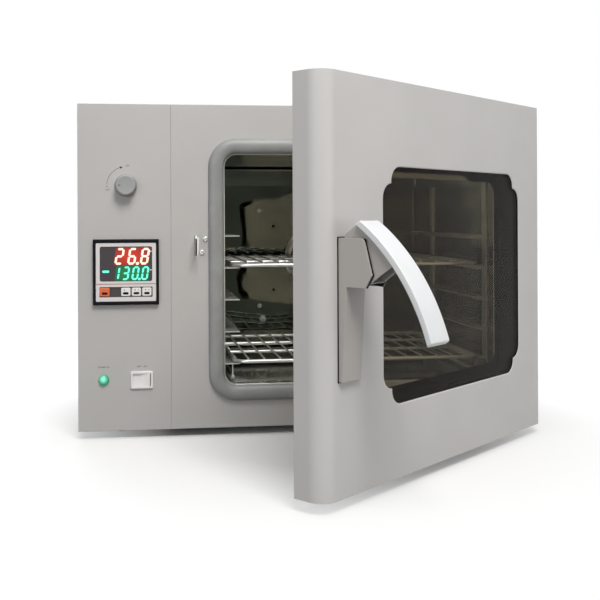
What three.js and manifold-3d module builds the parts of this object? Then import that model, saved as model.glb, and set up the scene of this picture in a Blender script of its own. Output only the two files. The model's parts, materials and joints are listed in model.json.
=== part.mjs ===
// A bench drying oven: its glazed door hangs open, a pull lever latches it, and two wire shelves slide
// on racks. Millimetres and degrees, +Z up, the front faces -Y. The sizes below are measured from the
// cabinet's left side (x), its front face (y) and its underside (z). The finished group stands with the
// origin under the middle of its box.

import * as THREE from 'three';
import { mergeVertices } from 'three/addons/utils/BufferGeometryUtils.js';
import Module from 'manifold-3d';

// Clearance between neighbouring pieces, and how far a cutter runs past the face that it cuts
const gap = 0.3;
const overrun = 2;

// Facets: steps of a quarter turn on large corners and on small ones, and the sides of round parts
const cornerSteps = 4;
const edgeSteps = 2;
const largeSides = 24;
const mediumSides = 14;
const smallSides = 8;
const rodSides = 6;
const wireSides = 4;

const cabinet = {
  width: 674,
  depth: 500,
  height: 480,
  sheet: 1.5,
  edgeRadius: 3,
  frontReturn: 20,
  rearRecess: 6.5,
  coverReturn: 12,
  panFlange: 18,
};

const foot = {
  radius: 15,
  height: 12,
  chamfer: 2,
  recessRadius: 5,
  recessDepth: 4,
  inset: 62,
};

const controlPanel = {
  width: 136,
  columnX: 70,
};

const chamber = {
  leftMargin: 78.5,
  rightMargin: 41.5,
  floor: 63,
  roofMargin: 73,
  cornerRadius: 19,
  depth: 345,
  plenum: 40,
  sheet: 1.2,
  flangeFront: 1.8,
  flangeWidth: 12,
  mouthReveal: 8,
};

const insulation = {
  partitionOffset: 14,
  partitionFlange: 12,
  front: 24,
  motorBay: 50.2,
};

const gasket = {
  width: 23,
  rise: 9.7,
  baseThickness: 0.7,
  tongueInset: 0.3,
  tongueDepth: 1.5,
  beadSteps: 6,
};

const baffle = {
  sheet: 1.2,
  slot: 36,
  grilleInner: 16,
  grilleBand: 11,
  grilleWeb: 5,
  grilleRings: 3,
  grilleSectors: 4,
  sectorWebAngle: 9,
  arcSteps: 3,
  postX: 108,
  postZ: 90,
  postRadius: 4,
  screwRadius: 4.5,
  screwHeight: 2.4,
  smallHoleX: 81,
  smallHoleZ: 60,
  smallHoleRadius: 2.5,
};

const probe = {
  leftOfFan: 102.5,
  belowFan: 114,
  nutRadius: 6.5,
  nutHeight: 4,
  stemRadius: 2.4,
  tipLength: 9,
  tailLength: 12,
};

const fan = {
  shaftRadius: 4,
  nutSetback: 5.2,
  shaftTail: 20,
  nutRadius: 7,
  nutHeight: 5,
  discRadius: 72,
  discSetback: 31,
  discThickness: 1.6,
  hubRadius: 11,
  bladeCount: 12,
  bladeInner: 38,
  bladeOuter: 69,
  bladeDepth: 22,
  bladeThickness: 1.4,
  bladeSweep: 26,
  bladeSteps: 2,
  shroudWidth: 8,
  shroudThickness: 1.4,
};

const motor = {
  radius: 43,
  length: 44,
  flangeRadius: 52,
  flangeThickness: 3,
  capRadius: 33,
  shoulder: 6,
  boreDepth: 22,
  boltCount: 4,
  boltRadius: 3.5,
  boltHeight: 3,
};

const heater = {
  ringRadius: 95,
  tubeRadius: 3.5,
  ringSetback: 18,
  legSpread: 24,
  bendRadius: 14,
  legTail: 12,
  bendSteps: 3,
  ringSteps: 18,
};

const rack = {
  frontPost: 40,
  rearPostMargin: 55,
  postWidth: 16,
  postThickness: 2,
  bottomMargin: 20,
  topMargin: 40,
  runnerReach: 27,
  runnerThickness: 1.5,
  runnerHeight: 9,
  runnerFront: 27,
  runnerRearMargin: 15,
  footRailRadius: 3,
  footRailX: 16,
  footRailDrop: 20,
};

const shelf = {
  lowerHeight: 31,
  levelSpacing: 48.5,
  levels: 5,
  upperLevel: 3,
  sideMargin: 15.5,
  front: 17,
  rearMargin: 37,
  cornerRadius: 20,
  rimRadius: 3,
  rodRadius: 2.5,
  rodCount: 2,
  wireRadius: 1.5,
  wireCount: 15,
  wireSeat: 0.5,
  wireInset: 20,
};

const vent = {
  ductRadius: 21,
  ductWall: 1.5,
  y: 250,
  height: 360,
  elbowRadius: 30,
  elbowSteps: 4,
  outletReach: 3,
  shaftRadius: 3,
  shaftFront: 12,
  shutterY: 327,
  shutterThickness: 2,
  shutterClearance: 0.6,
  seatThickness: 2,
  hubRadius: 6,
  bladeAngle: 86,
};

const knob = {
  radius: 16.6,
  depth: 18,
  chamfer: 2,
  skirtHeight: 3,
  topRadius: 14.6,
  boreDepth: 13,
  grooveWidth: 1.6,
  grooveDepth: 0.8,
};

const controller = {
  z: 233,
  bezel: 96,
  bezelDepth: 7,
  bezelRadius: 3,
  bodySize: 90.6,
  bodyDepth: 62,
  recessWidth: 88,
  recessHeight: 86,
  recessDepth: 3.3,
  faceThickness: 2,
  faceCorner: 1.5,
  windowWidth: 76,
  windowHeight: 51,
  windowRise: 12,
  windowThickness: 1.2,
  stripWidth: 77,
  stripHeight: 15,
  stripDrop: 29,
  buttonProud: 0.5,
  buttonTravel: 0.8,
  pocketDepth: 4,
  buttonCorner: 1.2,
};

const mainButton = {
  width: 14.9,
  height: 12.7,
  offset: -31,
};

const keyButton = {
  width: 13.8,
  height: 12.3,
  offset: -0.4,
  pitch: 15.3,
};

const powerSwitch = {
  x: 92.5,
  z: 74,
  bezelWidth: 33,
  bezelHeight: 25.4,
  bezelDepth: 3,
  bodyHeight: 21.4,
  wall: 1.1,
  bodyDepth: 15,
  pocketDepth: 12,
  rockerHalfWidth: 12.8,
  rockerFront: 6.5,
  rockerWaist: 5,
  rockerShoulder: 3,
  rockerBackHalf: 6,
  rockerBack: 5,
  pivotDepth: 4,
  tilt: 8,
};

const lamp = {
  x: 37,
  z: 75.3,
  radius: 7.8,
  dome: 6,
  rim: 1.4,
  stemRadius: 5,
  stemDepth: 9,
  socketWall: 2.4,
  socketDepth: 22,
  domeSteps: 5,
};

const louvre = {
  leftX: 76,
  leftLength: 88,
  motorLength: 130,
  firstZ: 118,
  pitch: 20.5,
  count: 9,
  opening: 7,
  depth: 4.6,
  metal: 1.2,
  arcSteps: 3,
};

const gland = {
  x: 60,
  z: 62,
  bodyRadius: 8,
  bore: 4.5,
  nutRadius: 12,
  nutHeight: 5,
  domeLength: 10,
  domeRadius: 9,
  innerReach: 14,
};

const door = {
  openAngle: 40,
  leftGap: 2,
  rise: 2,
  topMargin: 6,
  standoff: 7,
  thickness: 42,
  skin: 1.5,
  edgeRadius: 22,
  hingeOverhang: 8,
  hingeDepth: 7,
  innerPanelFront: 3,
  innerPanelSheet: 1.5,
};

const doorWindow = {
  centreHeight: 231,
  tallWidth: 308,
  tallHeight: 282,
  wideWidth: 343,
  wideHeight: 242,
  cornerRadius: 18,
  glass: 4,
  glassMargin: 9,
  innerWidth: 330,
  innerHeight: 262,
  frameSheet: 1.5,
  frameFlange: 7,
  frameMargin: 1.5,
};

const doorFill = {
  leftInset: 56,
  rightInset: 22,
  edgeInset: 6,
};

const hinge = {
  pinRadius: 3,
  bushRadius: 5,
  bushLength: 12,
  bushFlange: 1,
  bushFlangeThickness: 1.5,
  plate: 2.4,
  plateRadius: 8,
  tongueInset: 6,
  tongueWidth: 18,
  legDrop: 35,
  lowerTongue: 40,
  shoulderRadius: 6,
  pinReach: 11,
};

const handle = {
  fromFreeEdge: 43.5,
  width: 35,
  cheek: 2.5,
  wedgeBottom: 132,
  blockBottom: 236.5,
  top: 290,
  wedgeLowDepth: 5.6,
  wedgeHighDepth: 11.3,
  chinDepth: 36.3,
  noseDepth: 44.5,
  noseHeight: 250.4,
  browDepth: 34,
  browRadius: 5,
  pivotDepth: 8,
  pivotHeight: 259.5,
  pinRadius: 3,
  pinSeat: 1.2,
};

const lever = {
  pullAngle: 35.3,
  barOuter: 54,
  barTop: 290,
  barBottom: 135,
  barBow: 13,
  barThickness: 8,
  barTipThickness: 7.2,
  barBevel: 1,
  barSteps: 10,
  armSide: 0.3,
  armSeam: 0.6,
  armHeelDepth: 22.4,
  armHeelHeight: 226.5,
  armShoulderDepth: 25.7,
  armShoulderHeight: 288.2,
  armWall: 2.6,
  bossRadius: 5.2,
  clawThickness: 4,
  clawReach: 45,
  clawRise: 8.5,
  clawEyeRadius: 5.5,
  latchPinRadius: 3,
  latchPinReach: 12,
  slotMargin: 2.3,
};

const striker = {
  fromFreeEdge: 33,
  thickness: 2,
  reach: 22,
  bottom: 255,
  top: 286,
  notchNear: 17,
  notchFar: 7,
  notchTop: 273,
  noseRadius: 5,
  flangeGap: 3.5,
  flangeBottom: 252,
  flangeTop: 292,
  screwHead: 3.8,
  screwHeight: 2.2,
  screwShank: 1.8,
  screwTail: 3,
  gasketClearance: 0.5,
  upperScrew: 280.4,
  lowerScrew: 260.6,
  lowerScrewShift: 5.2,
  slotMargin: 5,
};

// Places worked out from the sizes above
const inner = {
  left: cabinet.sheet + gap,
  right: cabinet.width - cabinet.sheet - gap,
  floor: cabinet.sheet + gap,
  roof: cabinet.height - cabinet.sheet - gap,
};
const casingFront = cabinet.frontReturn + gap;
const coverFront = cabinet.depth - cabinet.rearRecess - cabinet.sheet;
const coverBack = coverFront + cabinet.sheet;
const rect = (left, right, bottom, top) => ({ left, right, bottom, top });
const rectAt = (x, z, width, height) => rect(x - width / 2, x + width / 2, z - height / 2, z + height / 2);
const grow = (r, by) => rect(r.left - by, r.right + by, r.bottom - by, r.top + by);
const chamberRect = rect(
  controlPanel.width + chamber.leftMargin,
  cabinet.width - chamber.rightMargin,
  chamber.floor,
  cabinet.height - chamber.roofMargin,
);
const chamberX = (chamberRect.left + chamberRect.right) / 2;
const chamberZ = (chamberRect.bottom + chamberRect.top) / 2;
const linerBack = chamber.depth + chamber.plenum;
const linerRear = linerBack + chamber.sheet;
const partitionX = controlPanel.width + insulation.partitionOffset;
const jacketLeft = partitionX + cabinet.sheet + gap;
const bulkheadBack = coverFront - insulation.motorBay;
const jacketBack = bulkheadBack - cabinet.sheet - gap;
const motorFront = bulkheadBack + gap;
const probeX = chamberX - probe.leftOfFan;
const probeZ = chamberZ - probe.belowFan;
const hingeAxis = {
  x: cabinet.width - door.hingeOverhang,
  y: -door.standoff - door.hingeDepth,
};
const doorBack = -door.standoff;
const doorFront = doorBack - door.thickness;
const doorRect = rect(
  controlPanel.width + door.leftGap,
  cabinet.width,
  door.rise,
  cabinet.height - door.topMargin,
);
const handleX = doorRect.left + handle.fromFreeEdge;
const strikerX = doorRect.left + striker.fromFreeEdge;
const gasketEdge = chamberRect.left - gasket.width;
const upperScrewX = gasketEdge - striker.gasketClearance - striker.screwHead;
const lowerScrewX = upperScrewX - striker.lowerScrewShift;
const lowerShelfZ = chamber.floor + shelf.lowerHeight;

const radians = THREE.MathUtils.degToRad;
const wasm = await Module();
wasm.setup();

// Finishes: colour, roughness and metalness of each material
const finishes = {
  paint: { color: 0xbab8b6, roughness: 0.55, metalness: 0.05 },
  doorPaint: { color: 0xc4c1bf, roughness: 0.5, metalness: 0.05 },
  handlePaint: { color: 0xaaa6a2, roughness: 0.45, metalness: 0.1 },
  leverPaint: { color: 0xe4e5e6, roughness: 0.35, metalness: 0.05 },
  galvanised: { color: 0xa9abad, roughness: 0.4, metalness: 0.8 },
  stainless: { color: 0xc8c9c6, roughness: 0.18, metalness: 0.95 },
  mirror: { color: 0xaeb2ac, roughness: 0.05, metalness: 1 },
  bright: { color: 0xe2e2df, roughness: 0.15, metalness: 1 },
  silicone: { color: 0xa6a7a6, roughness: 0.75, metalness: 0 },
  rubber: { color: 0x26282a, roughness: 0.85, metalness: 0 },
  wool: { color: 0xc9bd8f, roughness: 1, metalness: 0 },
  knobGrey: { color: 0x9b9c9b, roughness: 0.5, metalness: 0 },
  whitePlastic: { color: 0xf1efee, roughness: 0.4, metalness: 0 },
  darkPlastic: { color: 0x2c3033, roughness: 0.5, metalness: 0 },
  orange: { color: 0xd9702b, roughness: 0.45, metalness: 0 },
  display: { color: 0x4c4f50, roughness: 0.1, metalness: 0 },
  lampGreen: { color: 0x3fdcb4, roughness: 0.15, metalness: 0 },
  glass: { color: 0x2b2f2a, roughness: 0.04, metalness: 0 },
  heaterSteel: { color: 0x6e6660, roughness: 0.5, metalness: 0.8 },
  motorGrey: { color: 0x5a5f63, roughness: 0.5, metalness: 0.5 },
};

// Turns a closed three.js geometry into a solid, with its faces pointing out
function solid(geometry) {
  const bare = new THREE.BufferGeometry();
  bare.setAttribute('position', geometry.getAttribute('position').clone());
  if (geometry.index) bare.setIndex(geometry.index.clone());
  const merged = mergeVertices(bare);
  const points = merged.getAttribute('position').array;
  const corners = [];
  let volume = 0;
  const a = new THREE.Vector3();
  const b = new THREE.Vector3();
  const c = new THREE.Vector3();
  for (let i = 0; i < merged.index.count; i += 3) {
    const [p, q, r] = [0, 1, 2].map((step) => merged.index.getX(i + step));
    if (p === q || q === r || r === p) continue;
    corners.push([p, q, r]);
    a.fromArray(points, p * 3);
    b.fromArray(points, q * 3);
    c.fromArray(points, r * 3);
    volume += a.dot(b.cross(c));
  }
  const facing = ([p, q, r]) => (volume < 0 ? [p, r, q] : [p, q, r]);
  const triVerts = new Uint32Array(corners.flatMap(facing));
  const vertProperties = new Float32Array(points);
  return new wasm.Manifold(new wasm.Mesh({ numProp: 3, vertProperties, triVerts }));
}

const join = (...parts) => parts.reduce((whole, part) => whole.add(part));
const cut = (body, ...tools) => tools.reduce((rest, tool) => rest.subtract(tool), body);

// A mesh with its own material, from a solid
function piece(name, body, finish, parent) {
  const { vertProperties, triVerts } = body.getMesh();
  const geometry = new THREE.BufferGeometry();
  geometry.setAttribute('position', new THREE.BufferAttribute(vertProperties, 3));
  geometry.setIndex(new THREE.BufferAttribute(triVerts, 1));
  geometry.computeVertexNormals();
  const material = new THREE.MeshStandardMaterial({ ...finishes[finish], flatShading: true });
  const mesh = new THREE.Mesh(geometry, material);
  mesh.name = name;
  parent.add(mesh);
  return mesh;
}

// Outlines in the plane of the front (x, z), unless their maker says otherwise
function roundedShape(r, radius) {
  const shape = new THREE.Shape();
  shape.moveTo(r.right, r.top - radius);
  shape.absarc(r.right - radius, r.top - radius, radius, 0, Math.PI / 2);
  shape.absarc(r.left + radius, r.top - radius, radius, Math.PI / 2, Math.PI);
  shape.absarc(r.left + radius, r.bottom + radius, radius, Math.PI, Math.PI * 1.5);
  shape.absarc(r.right - radius, r.bottom + radius, radius, Math.PI * 1.5, Math.PI * 2);
  shape.closePath();
  return shape;
}

function archShape(r, radius) {
  const shape = new THREE.Shape();
  shape.moveTo(r.left, r.bottom);
  shape.lineTo(r.right, r.bottom);
  shape.absarc(r.right - radius, r.top - radius, radius, 0, Math.PI / 2);
  shape.absarc(r.left + radius, r.top - radius, radius, Math.PI / 2, Math.PI);
  shape.closePath();
  return shape;
}

function polygon(points) {
  return new THREE.Shape(points.map(([across, up]) => new THREE.Vector2(across, up)));
}

// Prisms: an outline in (x, z) drawn along Y, one in (y, z) along X, and one in (x, y) along Z
function extrude(shape, depth, steps) {
  return new THREE.ExtrudeGeometry(shape, { depth, bevelEnabled: false, curveSegments: steps });
}

// Turns a prism that was drawn along Z so that it runs along X, with its outline in (y, z)
function turnOntoX(geometry) {
  const across = new THREE.Vector3(0, 1, 0);
  const up = new THREE.Vector3(0, 0, 1);
  const along = new THREE.Vector3(1, 0, 0);
  return geometry.applyMatrix4(new THREE.Matrix4().makeBasis(across, up, along));
}

function alongY(shape, front, back, steps = cornerSteps) {
  return solid(extrude(shape, back - front, steps).rotateX(Math.PI / 2).translate(0, back, 0));
}

function alongX(shape, left, right, steps = cornerSteps) {
  return solid(turnOntoX(extrude(shape, right - left, steps)).translate(left, 0, 0));
}

function alongZ(shape, bottom, top, steps = cornerSteps) {
  return solid(extrude(shape, top - bottom, steps).translate(0, 0, bottom));
}

function block(r, front, back) {
  const size = [r.right - r.left, back - front, r.top - r.bottom];
  const middle = [(r.left + r.right) / 2, (front + back) / 2, (r.bottom + r.top) / 2];
  return solid(new THREE.BoxGeometry(...size).translate(...middle));
}

// A cylinder between two points given as [x, y, z]
function rod(start, end, radius, sides) {
  const from = new THREE.Vector3(...start);
  const to = new THREE.Vector3(...end);
  const along = to.clone().sub(from);
  const geometry = new THREE.CylinderGeometry(radius, radius, along.length(), sides);
  const upright = new THREE.Vector3(0, 1, 0);
  geometry.applyQuaternion(new THREE.Quaternion().setFromUnitVectors(upright, along.clone().normalize()));
  const middle = from.add(to).multiplyScalar(1 / 2);
  return solid(geometry.translate(middle.x, middle.y, middle.z));
}

// The cutter of a hole round a rod: its clearance is measured at the flats of its facets
function bore(start, end, radius, sides) {
  return rod(start, end, (radius + gap) / Math.cos(Math.PI / sides), sides);
}

// Turned parts: profile points are [radius, distance along the axis]
function turnedAlongY(profile, x, z, sides) {
  const points = profile.map(([radius, y]) => new THREE.Vector2(radius, y));
  return solid(new THREE.LatheGeometry(points, sides).translate(x, 0, z));
}

function turnedAlongZ(profile, x, y, sides) {
  const points = profile.map(([radius, z]) => new THREE.Vector2(radius, -z));
  return solid(new THREE.LatheGeometry(points, sides).rotateX(-Math.PI / 2).translate(x, y, 0));
}

// Rings of points joined side by side: an open row of rings is capped, a closed one comes back to its start
function skin(rings, closed = false) {
  const perRing = rings[0].length;
  const points = rings.flat();
  const index = [];
  const last = closed ? rings.length : rings.length - 1;
  for (let ring = 0; ring < last; ring += 1) {
    const next = (ring + 1) % rings.length;
    for (let i = 0; i < perRing; i += 1) {
      const j = (i + 1) % perRing;
      const [a, b, c, d] = [ring * perRing + i, ring * perRing + j, next * perRing + i, next * perRing + j];
      index.push(a, b, c, b, d, c);
    }
  }
  if (!closed) {
    for (const [ring, flip] of [[0, true], [rings.length - 1, false]]) {
      const centre = points.length;
      const sum = rings[ring].reduce((total, point) => total.add(point), new THREE.Vector3());
      points.push(sum.divideScalar(perRing));
      for (let i = 0; i < perRing; i += 1) {
        const a = ring * perRing + i;
        const b = ring * perRing + ((i + 1) % perRing);
        index.push(...(flip ? [centre, b, a] : [centre, a, b]));
      }
    }
  }
  const geometry = new THREE.BufferGeometry().setFromPoints(points);
  geometry.setIndex(index);
  return solid(geometry);
}

// Points round a rectangle with round corners, at the depth y
function ringPoints(r, radius, y, steps) {
  const corners = [
    [r.right - radius, r.top - radius],
    [r.left + radius, r.top - radius],
    [r.left + radius, r.bottom + radius],
    [r.right - radius, r.bottom + radius],
  ];
  return corners.flatMap(([x, z], quarter) =>
    Array.from({ length: steps + 1 }, (_, i) => {
      const angle = (quarter + i / steps) * (Math.PI / 2);
      return new THREE.Vector3(x + radius * Math.cos(angle), y, z + radius * Math.sin(angle));
    }),
  );
}

// A block whose face at the depth `face` has rolled edges, running on to the depth `rim`
function rolledBlock(r, face, rim, radius) {
  const way = Math.sign(rim - face);
  const rings = Array.from({ length: edgeSteps + 1 }, (_, i) => {
    const angle = (i / edgeSteps) * (Math.PI / 2);
    const inset = radius * (1 - Math.sin(angle));
    const y = face + way * radius * (1 - Math.cos(angle));
    return ringPoints(grow(r, -inset), radius - inset, y, edgeSteps);
  });
  rings.push(ringPoints(r, radius, rim, edgeSteps));
  return skin(rings);
}

// A sheet pan: a flat face with its four edges turned towards the rim
function pan(r, face, rim, sheet, radius) {
  const way = Math.sign(rim - face);
  const hollow = rolledBlock(grow(r, -sheet), face + way * sheet, rim + way * overrun, radius - sheet);
  return cut(rolledBlock(r, face, rim, radius), hollow);
}

// Round hoops of points for a level tube: one hoop for each place on its path, square to its way there
function tubeRings(path, ways, radius, sides) {
  return path.map((place, i) => {
    const along = ways[i];
    const side = new THREE.Vector3(0, 0, 1).cross(along).normalize();
    const up = along.clone().cross(side).normalize();
    return Array.from({ length: sides }, (_, k) => {
      const angle = ((k + 1 / 2) / sides) * Math.PI * 2;
      const offset = side.clone().multiplyScalar(radius * Math.cos(angle));
      return place.clone().add(offset).add(up.clone().multiplyScalar(radius * Math.sin(angle)));
    });
  });
}

const oven = new THREE.Group();
const cabinetGroup = new THREE.Group();
oven.add(cabinetGroup);

// The centre lines that pass through the liner's back, the insulation and the bulkhead
const heaterLegs = [-1, 1].map((side) => ({
  x: chamberX + (side * heater.legSpread) / 2,
  z: chamberZ - heater.ringRadius,
  radius: heater.tubeRadius,
}));
const rearPassages = [
  { x: chamberX, z: chamberZ, radius: fan.shaftRadius },
  { x: probeX, z: probeZ, radius: probe.stemRadius },
  ...heaterLegs,
];
const passageCutters = (front, back) =>
  rearPassages.map(({ x, z, radius }) => bore([x, front, z], [x, back, z], radius, smallSides));
const ductPassage = (left, right) =>
  bore([left, vent.y, vent.height], [right, vent.y, vent.height], vent.ductRadius, largeSides);

buildCasing();
buildFront();
buildChamber();
buildAirSystem();
buildRacksAndShelves();
buildVent();
buildControls();
buildSwitchAndLamp();
buildRear();
buildStriker();
buildHingeBrackets();
buildDoor();
standOnOrigin(oven);

// Casing, floor pan, partition, insulation and bulkhead
function buildCasing() {
  const shell = rect(0, cabinet.width, 0, cabinet.height);
  const hollow = rect(
    cabinet.sheet,
    cabinet.width - cabinet.sheet,
    -overrun,
    cabinet.height - cabinet.sheet,
  );
  const casing = cut(
    alongY(archShape(shell, cabinet.edgeRadius), casingFront, cabinet.depth, edgeSteps),
    alongY(
      archShape(hollow, cabinet.edgeRadius - cabinet.sheet),
      casingFront - overrun,
      cabinet.depth + overrun,
      edgeSteps,
    ),
  );
  piece('outer_casing', casing, 'paint', cabinetGroup);

  const tray = rect(inner.left, inner.right, 0, cabinet.panFlange);
  const trayHollow = rect(
    inner.left + cabinet.sheet,
    inner.right - cabinet.sheet,
    cabinet.sheet,
    cabinet.panFlange + overrun,
  );
  const flangeEnd = coverBack - cabinet.coverReturn - gap;
  const channel = cut(
    block(tray, casingFront, flangeEnd),
    block(trayHollow, casingFront - overrun, flangeEnd + overrun),
  );
  const floor = block(rect(inner.left, inner.right, 0, cabinet.sheet), flangeEnd - overrun, coverBack);
  piece('base_pan', join(channel, floor), 'galvanised', cabinetGroup);

  const flange = insulation.partitionFlange;
  const partitionShape = polygon([
    [partitionX - flange, inner.floor],
    [partitionX + cabinet.sheet, inner.floor],
    [partitionX + cabinet.sheet, inner.roof],
    [partitionX - flange, inner.roof],
    [partitionX - flange, inner.roof - cabinet.sheet],
    [partitionX, inner.roof - cabinet.sheet],
    [partitionX, inner.floor + cabinet.sheet],
    [partitionX - flange, inner.floor + cabinet.sheet],
  ]);
  const partition = cut(
    alongY(partitionShape, insulation.front, coverFront - cabinet.coverReturn),
    ductPassage(partitionX - overrun, partitionX + cabinet.sheet + overrun),
  );
  piece('partition', partition, 'galvanised', cabinetGroup);

  const bay = rect(jacketLeft, inner.right - cabinet.sheet - gap, inner.floor, inner.roof);
  const clearance = chamber.sheet + gap;
  const linerSpace = alongY(
    roundedShape(grow(chamberRect, clearance), chamber.cornerRadius + clearance),
    insulation.front - overrun,
    linerRear + gap,
  );
  const jacket = cut(
    block(bay, insulation.front, jacketBack),
    linerSpace,
    ductPassage(jacketLeft - overrun, chamberRect.left),
    ...passageCutters(linerBack, jacketBack + overrun),
  );
  piece('insulation_jacket', jacket, 'wool', cabinetGroup);

  const bulkhead = cut(
    block(bay, jacketBack + gap, bulkheadBack),
    ...passageCutters(jacketBack, bulkheadBack + overrun),
  );
  piece('rear_bulkhead', bulkhead, 'galvanised', cabinetGroup);

  const lug = foot.inset;
  const corners = [
    ['foot_front_left', lug, lug],
    ['foot_front_right', cabinet.width - lug, lug],
    ['foot_rear_left', lug, cabinet.depth - lug],
    ['foot_rear_right', cabinet.width - lug, cabinet.depth - lug],
  ];
  const top = -gap;
  const profile = [
    [0, top],
    [foot.radius, top],
    [foot.radius, foot.chamfer - foot.height],
    [foot.radius - foot.chamfer, -foot.height],
    [foot.recessRadius, -foot.height],
    [foot.recessRadius, foot.recessDepth - foot.height],
    [0, foot.recessDepth - foot.height],
  ];
  for (const [name, x, y] of corners) {
    piece(name, turnedAlongZ(profile, x, y, mediumSides), 'rubber', cabinetGroup);
  }
}

// Control panel and front frame, with the holes for what sits in them
function buildFront() {
  const face = rect(0, controlPanel.width, 0, cabinet.height);
  const through = [-overrun, cabinet.sheet + overrun];
  const hole = (x, z, radius) => bore([x, through[0], z], [x, through[1], z], radius, mediumSides);
  const opening = (x, z, width, height) => block(grow(rectAt(x, z, width, height), gap), ...through);
  const panel = cut(
    pan(face, 0, cabinet.frontReturn, cabinet.sheet, cabinet.edgeRadius),
    opening(controlPanel.columnX, controller.z, controller.bodySize, controller.bodySize),
    opening(powerSwitch.x, powerSwitch.z, switchBodyWidth(), powerSwitch.bodyHeight),
    hole(lamp.x, lamp.z, lamp.stemRadius),
    hole(controlPanel.columnX, vent.height, vent.shaftRadius),
  );
  piece('control_panel', panel, 'paint', cabinetGroup);

  const frameFace = rect(controlPanel.width + gap, cabinet.width, 0, cabinet.height);
  const mouth = alongY(
    roundedShape(grow(chamberRect, chamber.mouthReveal), chamber.cornerRadius + chamber.mouthReveal),
    ...through,
  );
  const strikerSlot = rect(strikerX, strikerX + striker.thickness, striker.bottom, striker.top);
  const [left, bottom] = [tongueLeft(), doorRect.top + gap];
  const tongue = rect(left, left + hinge.tongueWidth, bottom, bottom + hinge.plate);
  const frame = cut(
    pan(frameFace, 0, cabinet.frontReturn, cabinet.sheet, cabinet.edgeRadius),
    mouth,
    block(grow(strikerSlot, gap), ...through),
    block(grow(tongue, gap), ...through),
    hole(upperScrewX, striker.upperScrew, striker.screwShank),
    hole(lowerScrewX, striker.lowerScrew, striker.screwShank),
  );
  piece('front_frame', frame, 'paint', cabinetGroup);
}

// The left side of the hinge plates' tongues
function tongueLeft() {
  return hingeAxis.x - hinge.tongueWidth + hinge.plateRadius - hinge.tongueInset;
}

// Polished liner, its baffle and the seal round the mouth
function buildChamber() {
  const outline = (offset) => roundedShape(grow(chamberRect, offset), chamber.cornerRadius + offset);
  const flangeBack = chamber.flangeFront + chamber.sheet;
  const inletLeft = chamberRect.left - chamber.sheet - overrun;
  const liner = cut(
    join(
      alongY(outline(chamber.sheet), chamber.flangeFront, linerRear),
      alongY(outline(chamber.flangeWidth), chamber.flangeFront, flangeBack),
    ),
    alongY(outline(0), chamber.flangeFront - overrun, linerBack),
    rod(
      [inletLeft, vent.y, vent.height],
      [chamberRect.left + overrun, vent.y, vent.height],
      vent.ductRadius - vent.ductWall,
      largeSides,
    ),
    ...passageCutters(linerBack - overrun, linerRear + overrun),
  );
  piece('chamber_liner', liner, 'stainless', cabinetGroup);

  // The seal's section is drawn as [offset out from the chamber's outline, y] and carried round the mouth
  const lip = chamber.mouthReveal - gasket.tongueInset;
  const back = -gasket.tongueInset;
  const base = back - gasket.baseThickness;
  const crown = gasket.rise + base;
  const bead = Array.from({ length: gasket.beadSteps + 1 }, (_, i) => {
    const angle = (i / gasket.beadSteps) * Math.PI;
    return [(gasket.width / 2) * (1 - Math.cos(angle)), base - crown * Math.sin(angle)];
  });
  const section = [
    [0, gasket.tongueDepth],
    ...bead,
    [gasket.width, back],
    [lip, back],
    [lip, gasket.tongueDepth],
  ];
  const hoops = section.map(([offset, y]) =>
    ringPoints(grow(chamberRect, offset), chamber.cornerRadius + offset, y, cornerSteps),
  );
  piece('chamber_gasket', skin(hoops, true), 'silicone', cabinetGroup);
}

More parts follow.
